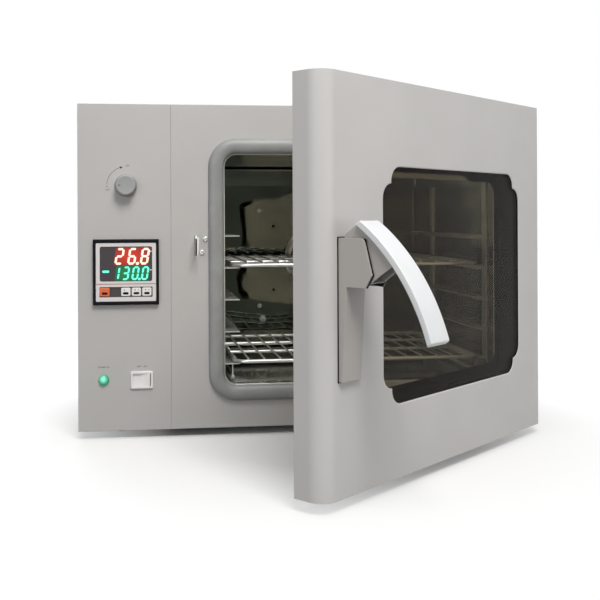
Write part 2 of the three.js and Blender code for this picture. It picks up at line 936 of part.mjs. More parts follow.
// Baffle, fan, motor, heater and temperature probe
function buildAirSystem() {
  const back = chamber.depth + baffle.sheet;
  const plate = rect(
    chamberRect.left + gap,
    chamberRect.right - gap,
    chamberRect.bottom + baffle.slot,
    chamberRect.top - baffle.slot,
  );
  const grille = [];
  for (let ring = 0; ring < baffle.grilleRings; ring += 1) {
    const near = baffle.grilleInner + ring * (baffle.grilleBand + baffle.grilleWeb);
    for (let sector = 0; sector < baffle.grilleSectors; sector += 1) {
      const turn = 360 / baffle.grilleSectors;
      const from = radians(sector * turn + baffle.sectorWebAngle / 2);
      const to = radians((sector + 1) * turn - baffle.sectorWebAngle / 2);
      const slot = new THREE.Shape();
      slot.absarc(chamberX, chamberZ, near + baffle.grilleBand, from, to);
      slot.absarc(chamberX, chamberZ, near, to, from, true);
      grille.push(alongY(slot, chamber.depth - overrun, back + overrun, baffle.arcSteps));
    }
  }
  const signs = [[-1, -1], [-1, 1], [1, -1], [1, 1]];
  const posts = signs.flatMap(([sx, sz]) => {
    const [x, z] = [chamberX + sx * baffle.postX, chamberZ + sz * baffle.postZ];
    const face = chamber.depth;
    const head = [
      [0, face - baffle.screwHeight],
      [baffle.screwRadius - baffle.sheet, face - baffle.screwHeight],
      [baffle.screwRadius, face - baffle.screwHeight / 2],
      [baffle.screwRadius, face + baffle.sheet / 2],
      [0, face + baffle.sheet / 2],
    ];
    return [
      rod([x, face + baffle.sheet / 2, z], [x, linerBack - gap, z], baffle.postRadius, smallSides),
      turnedAlongY(head, x, z, smallSides),
    ];
  });
  const smallHoles = signs.map(([sx, sz]) => {
    const [x, z] = [chamberX + sx * baffle.smallHoleX, chamberZ + sz * baffle.smallHoleZ];
    return rod([x, chamber.depth - overrun, z], [x, back + overrun, z], baffle.smallHoleRadius, smallSides);
  });
  const probeHole = bore(
    [probeX, chamber.depth - overrun, probeZ],
    [probeX, back + overrun, probeZ],
    probe.stemRadius,
    smallSides,
  );
  const sheet = cut(block(plate, chamber.depth, back), ...grille, ...smallHoles, probeHole);
  piece('air_baffle', join(sheet, ...posts), 'mirror', cabinetGroup);

  const nutBack = chamber.depth - gap;
  const stem = [
    [0, nutBack - probe.nutHeight - probe.tipLength],
    [probe.stemRadius, nutBack - probe.nutHeight - probe.tipLength + probe.stemRadius],
    [probe.stemRadius, nutBack - probe.nutHeight],
    [probe.nutRadius - overrun, nutBack - probe.nutHeight],
    [probe.nutRadius, nutBack - probe.nutHeight / 2],
    [probe.nutRadius, nutBack],
    [probe.stemRadius, nutBack],
    [probe.stemRadius, bulkheadBack + probe.tailLength],
    [0, bulkheadBack + probe.tailLength],
  ];
  piece('temperature_probe', turnedAlongY(stem, probeX, probeZ, smallSides), 'bright', cabinetGroup);

  buildHeater();
  buildFan();
}

function buildHeater() {
  const ringY = chamber.depth + heater.ringSetback;
  const bend = heater.bendRadius;
  const legEnd = bulkheadBack + heater.legTail;
  const legHalf = heater.legSpread / 2;
  const half = Math.asin((legHalf + bend) / heater.ringRadius);
  const path = [];
  const ways = [];
  const push = (x, y, z, dx, dy, dz) => {
    path.push(new THREE.Vector3(x, y, z));
    ways.push(new THREE.Vector3(dx, dy, dz).normalize());
  };
  const legX = chamberX + legHalf;
  const legZ = chamberZ - heater.ringRadius;
  push(legX, legEnd, legZ, 0, -1, 0);
  for (let i = 0; i <= heater.bendSteps; i += 1) {
    const angle = (i / heater.bendSteps) * (Math.PI / 2);
    const x = legX + bend * (1 - Math.cos(angle));
    push(x, ringY + bend * (1 - Math.sin(angle)), legZ, Math.sin(angle), -Math.cos(angle), 0);
  }
  const start = half - Math.PI / 2;
  const sweep = Math.PI * 2 - half * 2;
  for (let i = 1; i < heater.ringSteps; i += 1) {
    const angle = start + (i / heater.ringSteps) * sweep;
    const [x, z] = [Math.cos(angle), Math.sin(angle)];
    push(chamberX + heater.ringRadius * x, ringY, chamberZ + heater.ringRadius * z, -z, 0, x);
  }
  for (let i = heater.bendSteps; i >= 0; i -= 1) {
    const angle = (i / heater.bendSteps) * (Math.PI / 2);
    const x = chamberX - legHalf - bend * (1 - Math.cos(angle));
    push(x, ringY + bend * (1 - Math.sin(angle)), legZ, Math.sin(angle), Math.cos(angle), 0);
  }
  push(chamberX - legHalf, legEnd, legZ, 0, 1, 0);

  // Each ring of the tube turns with the path, so that its sides don't twist
  let side = new THREE.Vector3(1, 0, 0);
  const rings = path.map((place, i) => {
    side = side.sub(ways[i].clone().multiplyScalar(side.dot(ways[i]))).normalize();
    const up = ways[i].clone().cross(side);
    return Array.from({ length: rodSides }, (_, k) => {
      const angle = (k / rodSides) * Math.PI * 2;
      const offset = side.clone().multiplyScalar(heater.tubeRadius * Math.cos(angle));
      return place.clone().add(offset).add(up.clone().multiplyScalar(heater.tubeRadius * Math.sin(angle)));
    });
  });
  piece('heater_element', skin(rings), 'heaterSteel', cabinetGroup);
}

function buildFan() {
  const shaftFront = chamber.depth + fan.nutSetback;
  const nutBack = shaftFront + fan.nutHeight / 2;
  const shaftEnd = motorFront + fan.shaftTail;
  const shaft = [
    [0, shaftFront],
    [fan.nutRadius, shaftFront],
    [fan.nutRadius, nutBack],
    [fan.shaftRadius, nutBack],
    [fan.shaftRadius, shaftEnd],
    [0, shaftEnd],
  ];
  piece('fan_shaft', turnedAlongY(shaft, chamberX, chamberZ, smallSides), 'bright', cabinetGroup);

  const discFront = chamber.depth + fan.discSetback;
  const discBack = discFront + fan.discThickness;
  const bladeFront = discFront - fan.bladeDepth;
  const hubFront = nutBack + gap;
  const disc = turnedAlongY(
    [
      [0, hubFront],
      [fan.hubRadius, hubFront],
      [fan.hubRadius, discFront],
      [fan.discRadius, discFront],
      [fan.discRadius, discBack],
      [0, discBack],
    ],
    chamberX,
    chamberZ,
    largeSides,
  );
  const shroud = turnedAlongY(
    [
      [fan.discRadius - fan.shroudWidth, bladeFront - fan.shroudThickness],
      [fan.discRadius, bladeFront - fan.shroudThickness],
      [fan.discRadius, bladeFront],
      [fan.discRadius - fan.shroudWidth, bladeFront],
      [fan.discRadius - fan.shroudWidth, bladeFront - fan.shroudThickness],
    ],
    chamberX,
    chamberZ,
    largeSides,
  );
  const blades = Array.from({ length: fan.bladeCount }, (_, blade) => {
    const turn = (blade / fan.bladeCount) * Math.PI * 2;
    const line = Array.from({ length: fan.bladeSteps + 1 }, (_unused, i) => {
      const share = i / fan.bladeSteps;
      const radius = fan.bladeInner + (fan.bladeOuter - fan.bladeInner) * share;
      return [radius, turn + radians(fan.bladeSweep) * share * share];
    });
    const edge = (shift) =>
      line.map(([radius, angle]) => [
        chamberX + radius * Math.cos(angle) - shift * Math.sin(angle),
        chamberZ + radius * Math.sin(angle) + shift * Math.cos(angle),
      ]);
    const half = fan.bladeThickness / 2;
    const outline = polygon([...edge(-half), ...edge(half).reverse()]);
    return alongY(outline, bladeFront - fan.shroudThickness / 2, discFront + fan.discThickness / 2);
  });
  const hubBore = bore(
    [chamberX, hubFront - overrun, chamberZ],
    [chamberX, discBack + overrun, chamberZ],
    fan.shaftRadius,
    smallSides,
  );
  piece('fan_impeller', cut(join(disc, shroud, ...blades), hubBore), 'stainless', cabinetGroup);

  const end = motorFront + motor.length;
  const body = turnedAlongY(
    [
      [0, motorFront],
      [motor.flangeRadius, motorFront],
      [motor.flangeRadius, motorFront + motor.flangeThickness],
      [motor.radius, motorFront + motor.flangeThickness],
      [motor.radius, end - motor.shoulder],
      [motor.capRadius, end],
      [0, end],
    ],
    chamberX,
    chamberZ,
    largeSides,
  );
  const bolts = Array.from({ length: motor.boltCount }, (_, i) => {
    const angle = ((i + 1 / 2) / motor.boltCount) * Math.PI * 2;
    const reach = (motor.radius + motor.flangeRadius) / 2;
    const [x, z] = [chamberX + reach * Math.cos(angle), chamberZ + reach * Math.sin(angle)];
    const seat = motorFront + motor.flangeThickness;
    const root = seat - motor.flangeThickness / 2;
    return rod([x, root, z], [x, seat + motor.boltHeight, z], motor.boltRadius, rodSides);
  });
  const shaftBore = bore(
    [chamberX, motorFront - overrun, chamberZ],
    [chamberX, motorFront + motor.boreDepth, chamberZ],
    fan.shaftRadius,
    smallSides,
  );
  piece('fan_motor', cut(join(body, ...bolts), shaftBore), 'motorGrey', cabinetGroup);
}

// Side racks with runners, and the two wire shelves
function buildRacksAndShelves() {
  const runnerRear = chamber.depth - rack.runnerRearMargin;
  const postPlaces = [rack.frontPost, chamber.depth - rack.rearPostMargin];
  const racks = [
    ['shelf_rail_left', chamberRect.left, 1],
    ['shelf_rail_right', chamberRect.right, -1],
  ];
  for (const [name, wall, way] of racks) {
    const strip = (near, far, bottom, top) => {
      const [start, end] = [wall + way * near, wall + way * far];
      return rect(Math.min(start, end), Math.max(start, end), bottom, top);
    };
    const low = chamberRect.bottom + rack.bottomMargin;
    const high = chamberRect.top - rack.topMargin;
    const atPosts = (r) =>
      postPlaces.map((y) => block(r, y - rack.postWidth / 2, y + rack.postWidth / 2));
    const posts = atPosts(strip(gap, gap + rack.postThickness, low, high));
    const legStart = gap + rack.postThickness / 2;
    const legEnd = gap + rack.postThickness + rack.runnerThickness;
    const runners = Array.from({ length: shelf.levels }, (_, level) => {
      const top = lowerShelfZ + level * shelf.levelSpacing - shelf.rimRadius - gap;
      const outline = [
        [legStart, top],
        [rack.runnerReach, top],
        [rack.runnerReach, top - rack.runnerThickness],
        [legEnd, top - rack.runnerThickness],
        [legEnd, top - rack.runnerHeight],
        [legStart, top - rack.runnerHeight],
      ].map(([reach, height]) => [wall + way * reach, height]);
      return alongY(polygon(outline), rack.runnerFront, runnerRear);
    });
    const railX = wall + way * rack.footRailX;
    const lowRunner = lowerShelfZ - shelf.rimRadius - gap - rack.runnerThickness / 2;
    const railZ = lowRunner - rack.footRailDrop;
    const rail = rod(
      [railX, rack.runnerFront, railZ],
      [railX, runnerRear, railZ],
      rack.footRailRadius,
      rodSides,
    );
    const half = rack.runnerThickness / 2;
    const ties = atPosts(strip(rack.footRailX - half, rack.footRailX + half, railZ, lowRunner));
    piece(name, join(...posts, ...runners, rail, ...ties), 'stainless', cabinetGroup);
  }

  const upperShelfZ = lowerShelfZ + shelf.upperLevel * shelf.levelSpacing;
  piece('shelf_lower', wireShelf(lowerShelfZ), 'bright', cabinetGroup);
  piece('shelf_upper', wireShelf(upperShelfZ), 'bright', cabinetGroup);
}

// One wire shelf: a bent rim, cross rods and fine wires that lie on top of them
function wireShelf(z) {
  const left = chamberRect.left + shelf.sideMargin + shelf.rimRadius;
  const right = chamberRect.right - shelf.sideMargin - shelf.rimRadius;
  const front = shelf.front + shelf.rimRadius;
  const rear = chamber.depth - shelf.rearMargin - shelf.rimRadius;
  const radius = shelf.cornerRadius;
  const bends = [
    [right - radius, rear - radius],
    [left + radius, rear - radius],
    [left + radius, front + radius],
    [right - radius, front + radius],
  ];
  const rings = bends.flatMap(([x, y], quarter) =>
    Array.from({ length: cornerSteps + 1 }, (_, i) => {
      const angle = (quarter + i / cornerSteps) * (Math.PI / 2);
      const [cos, sin] = [Math.cos(angle), Math.sin(angle)];
      return Array.from({ length: rodSides }, (_unused, k) => {
        const around = ((k + 1 / 2) / rodSides) * Math.PI * 2;
        const reach = radius + shelf.rimRadius * Math.cos(around);
        return new THREE.Vector3(x + reach * cos, y + reach * sin, z + shelf.rimRadius * Math.sin(around));
      });
    }),
  );
  const rods = Array.from({ length: shelf.rodCount }, (_, i) => {
    const y = front + ((rear - front) * (i + 1)) / (shelf.rodCount + 1);
    return rod([left, y, z], [right, y, z], shelf.rodRadius, rodSides);
  });
  const wireZ = z + shelf.rimRadius + shelf.wireRadius - shelf.wireSeat;
  const crossZ = z + shelf.rodRadius + shelf.wireRadius - shelf.wireSeat;
  const lift = wireZ - crossZ;
  const raised = rods.map((part) => part.translate([0, 0, lift]));
  const pitch = (right - left - shelf.wireInset * 2) / (shelf.wireCount - 1);
  const wires = Array.from({ length: shelf.wireCount }, (_, i) => {
    const x = left + shelf.wireInset + i * pitch;
    const start = [x, front - shelf.wireRadius, wireZ];
    const end = [x, rear + shelf.wireRadius, wireZ];
    return rod(start, end, shelf.wireRadius, wireSides);
  });
  return join(skin(rings, true), ...raised, ...wires);
}

// Vent: a duct from the chamber's left wall, bent towards the outlet at the rear, with a rotary shutter
function buildVent() {
  const z = vent.height;
  const x = controlPanel.columnX;
  const start = chamberRect.left - chamber.sheet - gap;
  const elbowX = x + vent.elbowRadius;
  const elbowY = vent.y + vent.elbowRadius;
  const end = coverBack + vent.outletReach;
  const path = [new THREE.Vector3(start, vent.y, z)];
  const ways = [new THREE.Vector3(-1, 0, 0)];
  for (let i = 0; i <= vent.elbowSteps; i += 1) {
    const angle = (i / vent.elbowSteps) * (Math.PI / 2);
    const [cos, sin] = [Math.cos(angle), Math.sin(angle)];
    path.push(new THREE.Vector3(elbowX - vent.elbowRadius * sin, elbowY - vent.elbowRadius * cos, z));
    ways.push(new THREE.Vector3(-cos, sin, 0));
  }
  path.push(new THREE.Vector3(x, end, z));
  ways.push(new THREE.Vector3(0, 1, 0));
  const ductBore = vent.ductRadius - vent.ductWall;
  const tube = skin(
    [
      ...tubeRings(path, ways, vent.ductRadius, mediumSides),
      ...tubeRings(path, ways, ductBore, mediumSides).reverse(),
    ],
    true,
  );
  const sector = (centre, radius, width) => {
    const [from, to] = [radians(centre - width / 2), radians(centre + width / 2)];
    const shape = new THREE.Shape();
    shape.moveTo(x, z);
    shape.lineTo(x + radius * Math.cos(from), z + radius * Math.sin(from));
    shape.absarc(x, z, radius, from, to);
    shape.closePath();
    return shape;
  };
  const seatFront = vent.shutterY + vent.shutterThickness + gap;
  const seatBack = seatFront + vent.seatThickness;
  const hubHole = bore(
    [x, vent.y - vent.ductRadius - overrun, z],
    [x, seatBack + overrun, z],
    vent.shaftRadius,
    smallSides,
  );
  const seatRadius = ductBore + vent.ductWall / 2;
  const seats = [0, 180].map((centre) =>
    alongY(sector(centre, seatRadius, 180 - vent.bladeAngle), seatFront, seatBack, cornerSteps + 1),
  );
  const hub = rod([x, seatFront, z], [x, seatBack, z], vent.hubRadius, smallSides);
  piece('vent_duct', cut(join(tube, ...seats, hub), hubHole), 'galvanised', cabinetGroup);

  const discRadius = ductBore * Math.cos(Math.PI / mediumSides) - vent.shutterClearance;
  const shutterBack = vent.shutterY + vent.shutterThickness;
  const blades = [90, 270].map((centre) =>
    alongY(sector(centre, discRadius, vent.bladeAngle), vent.shutterY, shutterBack, cornerSteps + 1),
  );
  const shaft = join(
    rod([x, -vent.shaftFront, z], [x, seatBack + gap, z], vent.shaftRadius, smallSides),
    rod([x, vent.shutterY, z], [x, shutterBack, z], vent.hubRadius, smallSides),
    ...blades,
  );
  piece('vent_shaft', shaft, 'galvanised', cabinetGroup);

  const base = -gap;
  const crown = base - knob.depth;
  const body = turnedAlongY(
    [
      [0, crown],
      [knob.topRadius - knob.chamfer, crown],
      [knob.topRadius, crown + knob.chamfer],
      [knob.radius, base - knob.skirtHeight],
      [knob.radius, base],
      [0, base],
    ],
    x,
    z,
    largeSides,
  );
  const groove = rect(
    x - knob.topRadius,
    x - knob.topRadius / 2,
    z - knob.grooveWidth / 2,
    z + knob.grooveWidth / 2,
  );
  const knobBody = cut(
    body,
    bore([x, base - knob.boreDepth, z], [x, overrun, z], vent.shaftRadius, smallSides),
    block(groove, crown - overrun, crown + knob.grooveDepth),
  );
  piece('vent_knob', knobBody, 'knobGrey', cabinetGroup);
}

// Temperature controller with its face, display and four buttons
function buildControls() {
  const x = controlPanel.columnX;
  const z = controller.z;
  const back = -gap;
  const front = back - controller.bezelDepth;
  const recessFloor = front + controller.recessDepth;
  const size = controller.bezel;
  const bezel = rolledBlock(rectAt(x, z, size, size), front, back, controller.bezelRadius);
  const bodyRect = rectAt(x, z, controller.bodySize, controller.bodySize);
  const body = block(bodyRect, back - overrun, controller.bodyDepth);
  const recess = block(
    rectAt(x, z, controller.recessWidth, controller.recessHeight),
    front - overrun,
    recessFloor,
  );
  const buttons = [
    ['mode_button', mainButton, mainButton.offset, 'orange'],
    ...['shift_button', 'down_button', 'up_button'].map((name, i) => [
      name,
      keyButton,
      keyButton.offset + i * keyButton.pitch,
      'whitePlastic',
    ]),
  ];
  const buttonZ = z - controller.stripDrop;
  const pockets = buttons.map(([, kind, offset]) =>
    block(
      grow(rectAt(x + offset, buttonZ, kind.width, kind.height), gap),
      recessFloor - overrun,
      recessFloor + controller.pocketDepth,
    ),
  );
  piece('controller_case', cut(join(bezel, body), recess, ...pockets), 'darkPlastic', cabinetGroup);

  const faceFront = recessFloor - gap - controller.faceThickness;
  const faceBack = faceFront + controller.faceThickness;
  const faceRect = grow(rectAt(x, z, controller.recessWidth, controller.recessHeight), -gap);
  const windowRect = rectAt(x, z + controller.windowRise, controller.windowWidth, controller.windowHeight);
  const stripRect = rectAt(x, buttonZ, controller.stripWidth, controller.stripHeight);
  const face = cut(
    alongY(roundedShape(faceRect, controller.faceCorner), faceFront, faceBack, edgeSteps),
    block(windowRect, faceFront - overrun, faceBack + overrun),
    block(stripRect, faceFront - overrun, faceBack + overrun),
  );
  piece('controller_face', face, 'whitePlastic', cabinetGroup);

  const pane = alongY(
    roundedShape(grow(windowRect, -gap), controller.faceCorner),
    recessFloor - gap - controller.windowThickness,
    recessFloor - gap,
    edgeSteps,
  );
  piece('display_window', pane, 'display', cabinetGroup);

  for (const [name, kind, offset, finish] of buttons) {
    const keyFront = faceFront - controller.buttonProud;
    const keyBack = recessFloor + controller.pocketDepth - controller.buttonTravel - gap;
    const keyRect = rectAt(x + offset, buttonZ, kind.width, kind.height);
    const key = rolledBlock(keyRect, keyFront, keyBack, controller.buttonCorner);
    piece(name, key, finish, cabinetGroup);
  }
}

// The rocker's reach to each side of its pivot, when it is tilted
function rockerReach() {
  const tilt = radians(powerSwitch.tilt);
  return powerSwitch.rockerHalfWidth * Math.cos(tilt) + powerSwitch.rockerFront * Math.sin(tilt);
}

function switchBodyWidth() {
  return (rockerReach() + gap + powerSwitch.wall) * 2;
}

// Power switch and signal lamp
function buildSwitchAndLamp() {
  const { x, z } = powerSwitch;
  const back = -gap;
  const front = back - powerSwitch.bezelDepth;
  const bodyRect = rectAt(x, z, switchBodyWidth(), powerSwitch.bodyHeight);
  const pocketRect = grow(bodyRect, -powerSwitch.wall);
  const housing = cut(
    join(
      rolledBlock(
        rectAt(x, z, powerSwitch.bezelWidth, powerSwitch.bezelHeight),
        front,
        back,
        powerSwitch.wall,
      ),
      block(bodyRect, back - powerSwitch.wall, powerSwitch.bodyDepth),
    ),
    block(pocketRect, front - overrun, powerSwitch.pocketDepth),
  );
  piece('switch_frame', housing, 'whitePlastic', cabinetGroup);

  const half = powerSwitch.rockerHalfWidth;
  const shoulder = -powerSwitch.rockerShoulder;
  const plan = polygon([
    [-half, -powerSwitch.rockerFront],
    [0, -powerSwitch.rockerWaist],
    [half, -powerSwitch.rockerFront],
    [half, shoulder],
    [powerSwitch.rockerBackHalf, powerSwitch.rockerBack],
    [-powerSwitch.rockerBackHalf, powerSwitch.rockerBack],
    [-half, shoulder],
  ]);
  const pivot = new THREE.Group();
  pivot.position.set(x, powerSwitch.pivotDepth, 0);
  pivot.rotation.z = -radians(powerSwitch.tilt);
  cabinetGroup.add(pivot);
  const rocker = alongZ(plan, pocketRect.bottom + gap, pocketRect.top - gap);
  piece('switch_rocker', rocker, 'whitePlastic', pivot);

  const rim = back - lamp.rim;
  const dome = Array.from({ length: lamp.domeSteps + 1 }, (_, i) => {
    const angle = (i / lamp.domeSteps) * (Math.PI / 2);
    return [lamp.radius * Math.sin(angle), rim - (lamp.dome - lamp.rim) * Math.cos(angle)];
  });
  const lens = turnedAlongY(
    [
      ...dome,
      [lamp.radius, back],
      [lamp.stemRadius, back],
      [lamp.stemRadius, lamp.stemDepth],
      [0, lamp.stemDepth],
    ],
    lamp.x,
    lamp.z,
    mediumSides,
  );
  piece('lamp_lens', lens, 'lampGreen', cabinetGroup);

  const throat = (lamp.stemRadius + gap) / Math.cos(Math.PI / mediumSides);
  const outer = throat + lamp.socketWall;
  const socketFront = cabinet.sheet + gap;
  const socket = turnedAlongY(
    [
      [throat, socketFront],
      [outer, socketFront],
      [outer, lamp.socketDepth],
      [0, lamp.socketDepth],
      [0, lamp.stemDepth + gap],
      [throat, lamp.stemDepth + gap],
      [throat, socketFront],
    ],
    lamp.x,
    lamp.z,
    mediumSides,
  );
  piece('lamp_socket', socket, 'darkPlastic', cabinetGroup);
}

// Rear cover with two banks of stamped louvres, and the gland of the mains cord
function buildRear() {
  const face = rect(inner.left, inner.right, inner.floor, inner.roof);
  const cover = pan(face, coverBack, coverBack - cabinet.coverReturn, cabinet.sheet, cabinet.edgeRadius);
  const banks = [[louvre.leftX, louvre.leftLength], [chamberX, louvre.motorLength]];
  const places = banks.flatMap(([x, length]) =>
    Array.from({ length: louvre.count }, (_, i) => [x, length, louvre.firstZ + i * louvre.pitch]),
  );
  const arc = (depth, height, sill) =>
    Array.from({ length: louvre.arcSteps + 1 }, (_, i) => {
      const angle = (i / louvre.arcSteps) * (Math.PI / 2);
      return [coverBack + depth * Math.cos(angle), sill + height * Math.sin(angle)];
    });
  const hoods = places.map(([x, length, sill]) => {
    const height = louvre.opening + louvre.metal;
    const root = coverBack - cabinet.sheet / 2;
    const outline = polygon([[root, sill], ...arc(louvre.depth, height, sill), [root, sill + height]]);
    return alongX(outline, x - length / 2, x + length / 2);
  });
  const throats = places.map(([x, length, sill]) => {
    const inside = coverFront - overrun;
    const outline = polygon([
      [inside, sill],
      [coverBack, sill],
      [coverBack, sill - overrun],
      [coverBack + louvre.depth - louvre.metal, sill - overrun],
      ...arc(louvre.depth - louvre.metal, louvre.opening, sill),
      [inside, sill + louvre.opening],
    ]);
    return alongX(outline, x - length / 2 + louvre.metal, x + length / 2 - louvre.metal);
  });
  const hole = (x, z, radius) =>
    bore([x, coverFront - overrun, z], [x, coverBack + overrun, z], radius, mediumSides);
  const ventHole = hole(controlPanel.columnX, vent.height, vent.ductRadius);
  const glandHole = hole(gland.x, gland.z, gland.bodyRadius);
  piece('rear_cover', cut(join(cover, ...hoods), ...throats, ventHole, glandHole), 'paint', cabinetGroup);

  const nutFront = coverBack + gap;
  const nutBack = nutFront + gland.nutHeight;
  const innerNut = coverFront - gap;
  const sleeve = turnedAlongY(
    [
      [gland.bore, coverFront - gland.innerReach],
      [gland.bodyRadius, coverFront - gland.innerReach],
      [gland.bodyRadius, nutBack - gland.nutHeight / 2],
      [gland.domeRadius, nutBack],
      [gland.domeRadius, nutBack + gland.domeLength / 2],
      [(gland.bore + gland.domeRadius) / 2, nutBack + gland.domeLength],
      [gland.bore, nutBack + gland.domeLength],
      [gland.bore, coverFront - gland.innerReach],
    ],
    gland.x,
    gland.z,
    mediumSides,
  );
  const hex = (front, back) =>
    rod([gland.x, front, gland.z], [gland.x, back, gland.z], gland.nutRadius, rodSides);
  const cordBore = rod(
    [gland.x, coverFront - gland.innerReach - overrun, gland.z],
    [gland.x, nutBack + gland.domeLength + overrun, gland.z],
    gland.bore,
    mediumSides,
  );
  const nuts = join(hex(nutFront, nutBack), hex(innerNut - gland.nutHeight, innerNut));
  piece('power_gland', cut(join(sleeve, nuts), cordBore), 'darkPlastic', cabinetGroup);
}

// Striker plate at the left of the mouth, with its two screws
function buildStriker() {
  const right = strikerX + striker.thickness;
  const flangeFront = cabinet.sheet + gap;
  const flangeBack = flangeFront + striker.thickness;
  const nose = striker.noseRadius;
  const outline = new THREE.Shape();
  outline.moveTo(flangeBack, striker.bottom);
  outline.lineTo(flangeBack, striker.top);
  outline.absarc(nose - striker.reach, striker.top - nose, nose, Math.PI / 2, Math.PI);
  outline.lineTo(-striker.reach, striker.bottom);
  outline.lineTo(-striker.notchNear, striker.bottom);
  outline.lineTo(-striker.notchNear, striker.notchTop);
  outline.lineTo(-striker.notchFar, striker.notchTop);
  outline.lineTo(-striker.notchFar, striker.bottom);
  outline.closePath();
  const flangeRight = chamberRect.left - chamber.flangeWidth - striker.flangeGap;
  const flange = rect(strikerX, flangeRight, striker.flangeBottom, striker.flangeTop);
  const places = [[upperScrewX, striker.upperScrew], [lowerScrewX, striker.lowerScrew]];
  const holes = places.map(([x, z]) =>
    bore([x, flangeFront - overrun, z], [x, flangeBack + overrun, z], striker.screwShank, smallSides),
  );
  const blade = alongX(outline, strikerX, right, edgeSteps + 1);
  const plate = join(blade, block(flange, flangeFront, flangeBack));
  piece('striker_plate', cut(plate, ...holes), 'bright', cabinetGroup);

  const names = ['striker_screw_upper', 'striker_screw_lower'];
  names.forEach((name, i) => {
    const [x, z] = places[i];
    const seat = -gap;
    const crown = seat - striker.screwHeight;
    const screw = [
      [0, crown],
      [striker.screwHead / 2, crown],
      [striker.screwHead, seat - striker.screwHeight / 2],
      [striker.screwHead, seat],
      [striker.screwShank, seat],
      [striker.screwShank, flangeBack + striker.screwTail],
      [0, flangeBack + striker.screwTail],
    ];
    piece(name, turnedAlongY(screw, x, z, smallSides), 'bright', cabinetGroup);
  });
}

// Hinge plates with their fixed pins
function buildHingeBrackets() {
  const { x, y } = hingeAxis;
  const left = tongueLeft();
  const right = left + hinge.tongueWidth;
  const plate = (reach, bottom) => {
    const shape = new THREE.Shape();
    shape.moveTo(right, reach);
    shape.lineTo(left, reach);
    shape.lineTo(left, y + hinge.plateRadius);
    shape.lineTo(x - hinge.plateRadius, y);
    shape.absarc(x, y, hinge.plateRadius, Math.PI, Math.PI * 2);
    shape.lineTo(right, y + hinge.plateRadius);
    shape.closePath();
    return alongZ(shape, bottom, bottom + hinge.plate);
  };
  const legFront = cabinet.sheet + gap;
  const legBack = legFront + hinge.plate;
  const topBottom = doorRect.top + gap;
  const leg = rect(left, right, topBottom - hinge.legDrop, topBottom + hinge.plate);
  const topPin = rod(
    [x, y, topBottom - hinge.pinReach],
    [x, y, topBottom + hinge.plate / 2],
    hinge.pinRadius,
    smallSides,
  );
  const top = join(plate(legBack, topBottom), block(leg, legFront, legBack), topPin);
  piece('hinge_bracket_top', top, 'galvanised', cabinetGroup);

  const lowBottom = -gap - hinge.plate;
  const shoulderTop = doorRect.bottom - gap;
  const pinRoot = [x, y, lowBottom + hinge.plate / 2];
  const lower = join(
    plate(hinge.lowerTongue, lowBottom),
    rod(pinRoot, [x, y, doorRect.bottom + hinge.pinReach], hinge.pinRadius, smallSides),
    rod(pinRoot, [x, y, shoulderTop], hinge.shoulderRadius, mediumSides),
  );
  piece('hinge_bracket_bottom', lower, 'galvanised', cabinetGroup);
}

// The door is drawn shut and carried to its open place by nested groups
function buildDoor() {
  const swing = new THREE.Group();
  swing.position.set(hingeAxis.x, hingeAxis.y, 0);
  swing.rotation.z = radians(door.openAngle);
  const shut = new THREE.Group();
  shut.position.set(-hingeAxis.x, -hingeAxis.y, 0);
  swing.add(shut);
  cabinetGroup.add(swing);
  buildDoorShell(shut);
  buildDoorWindow(shut);
  buildHandle(shut);
}

function windowUnion(front, back, by = 0) {
  const { centreHeight, tallWidth, tallHeight, wideWidth, wideHeight, cornerRadius } = doorWindow;
  const tall = grow(rectAt(chamberX, centreHeight, tallWidth, tallHeight), by);
  const wide = grow(rectAt(chamberX, centreHeight, wideWidth, wideHeight), by);
  return join(
    alongY(roundedShape(tall, cornerRadius + by), front, back),
    alongY(roundedShape(wide, cornerRadius + by), front, back),
  );
}

// The slot for the claw between the handle block and the door's skin, swept from nested to pulled
function clawSlot(margin) {
  const drop = Math.atan2(lever.clawRise, lever.clawReach);
  const pulled = drop - radians(lever.pullAngle);
  const reach = handle.pivotDepth;
  const top = handle.pivotHeight + reach * Math.tan(drop) + lever.clawEyeRadius;
  const bottom = handle.pivotHeight + reach * Math.tan(pulled) - lever.clawEyeRadius / Math.cos(pulled);
  const side = lever.clawThickness / 2 + margin / 2;
  return rect(handleX - side, handleX + side, bottom - margin, top + margin);
}

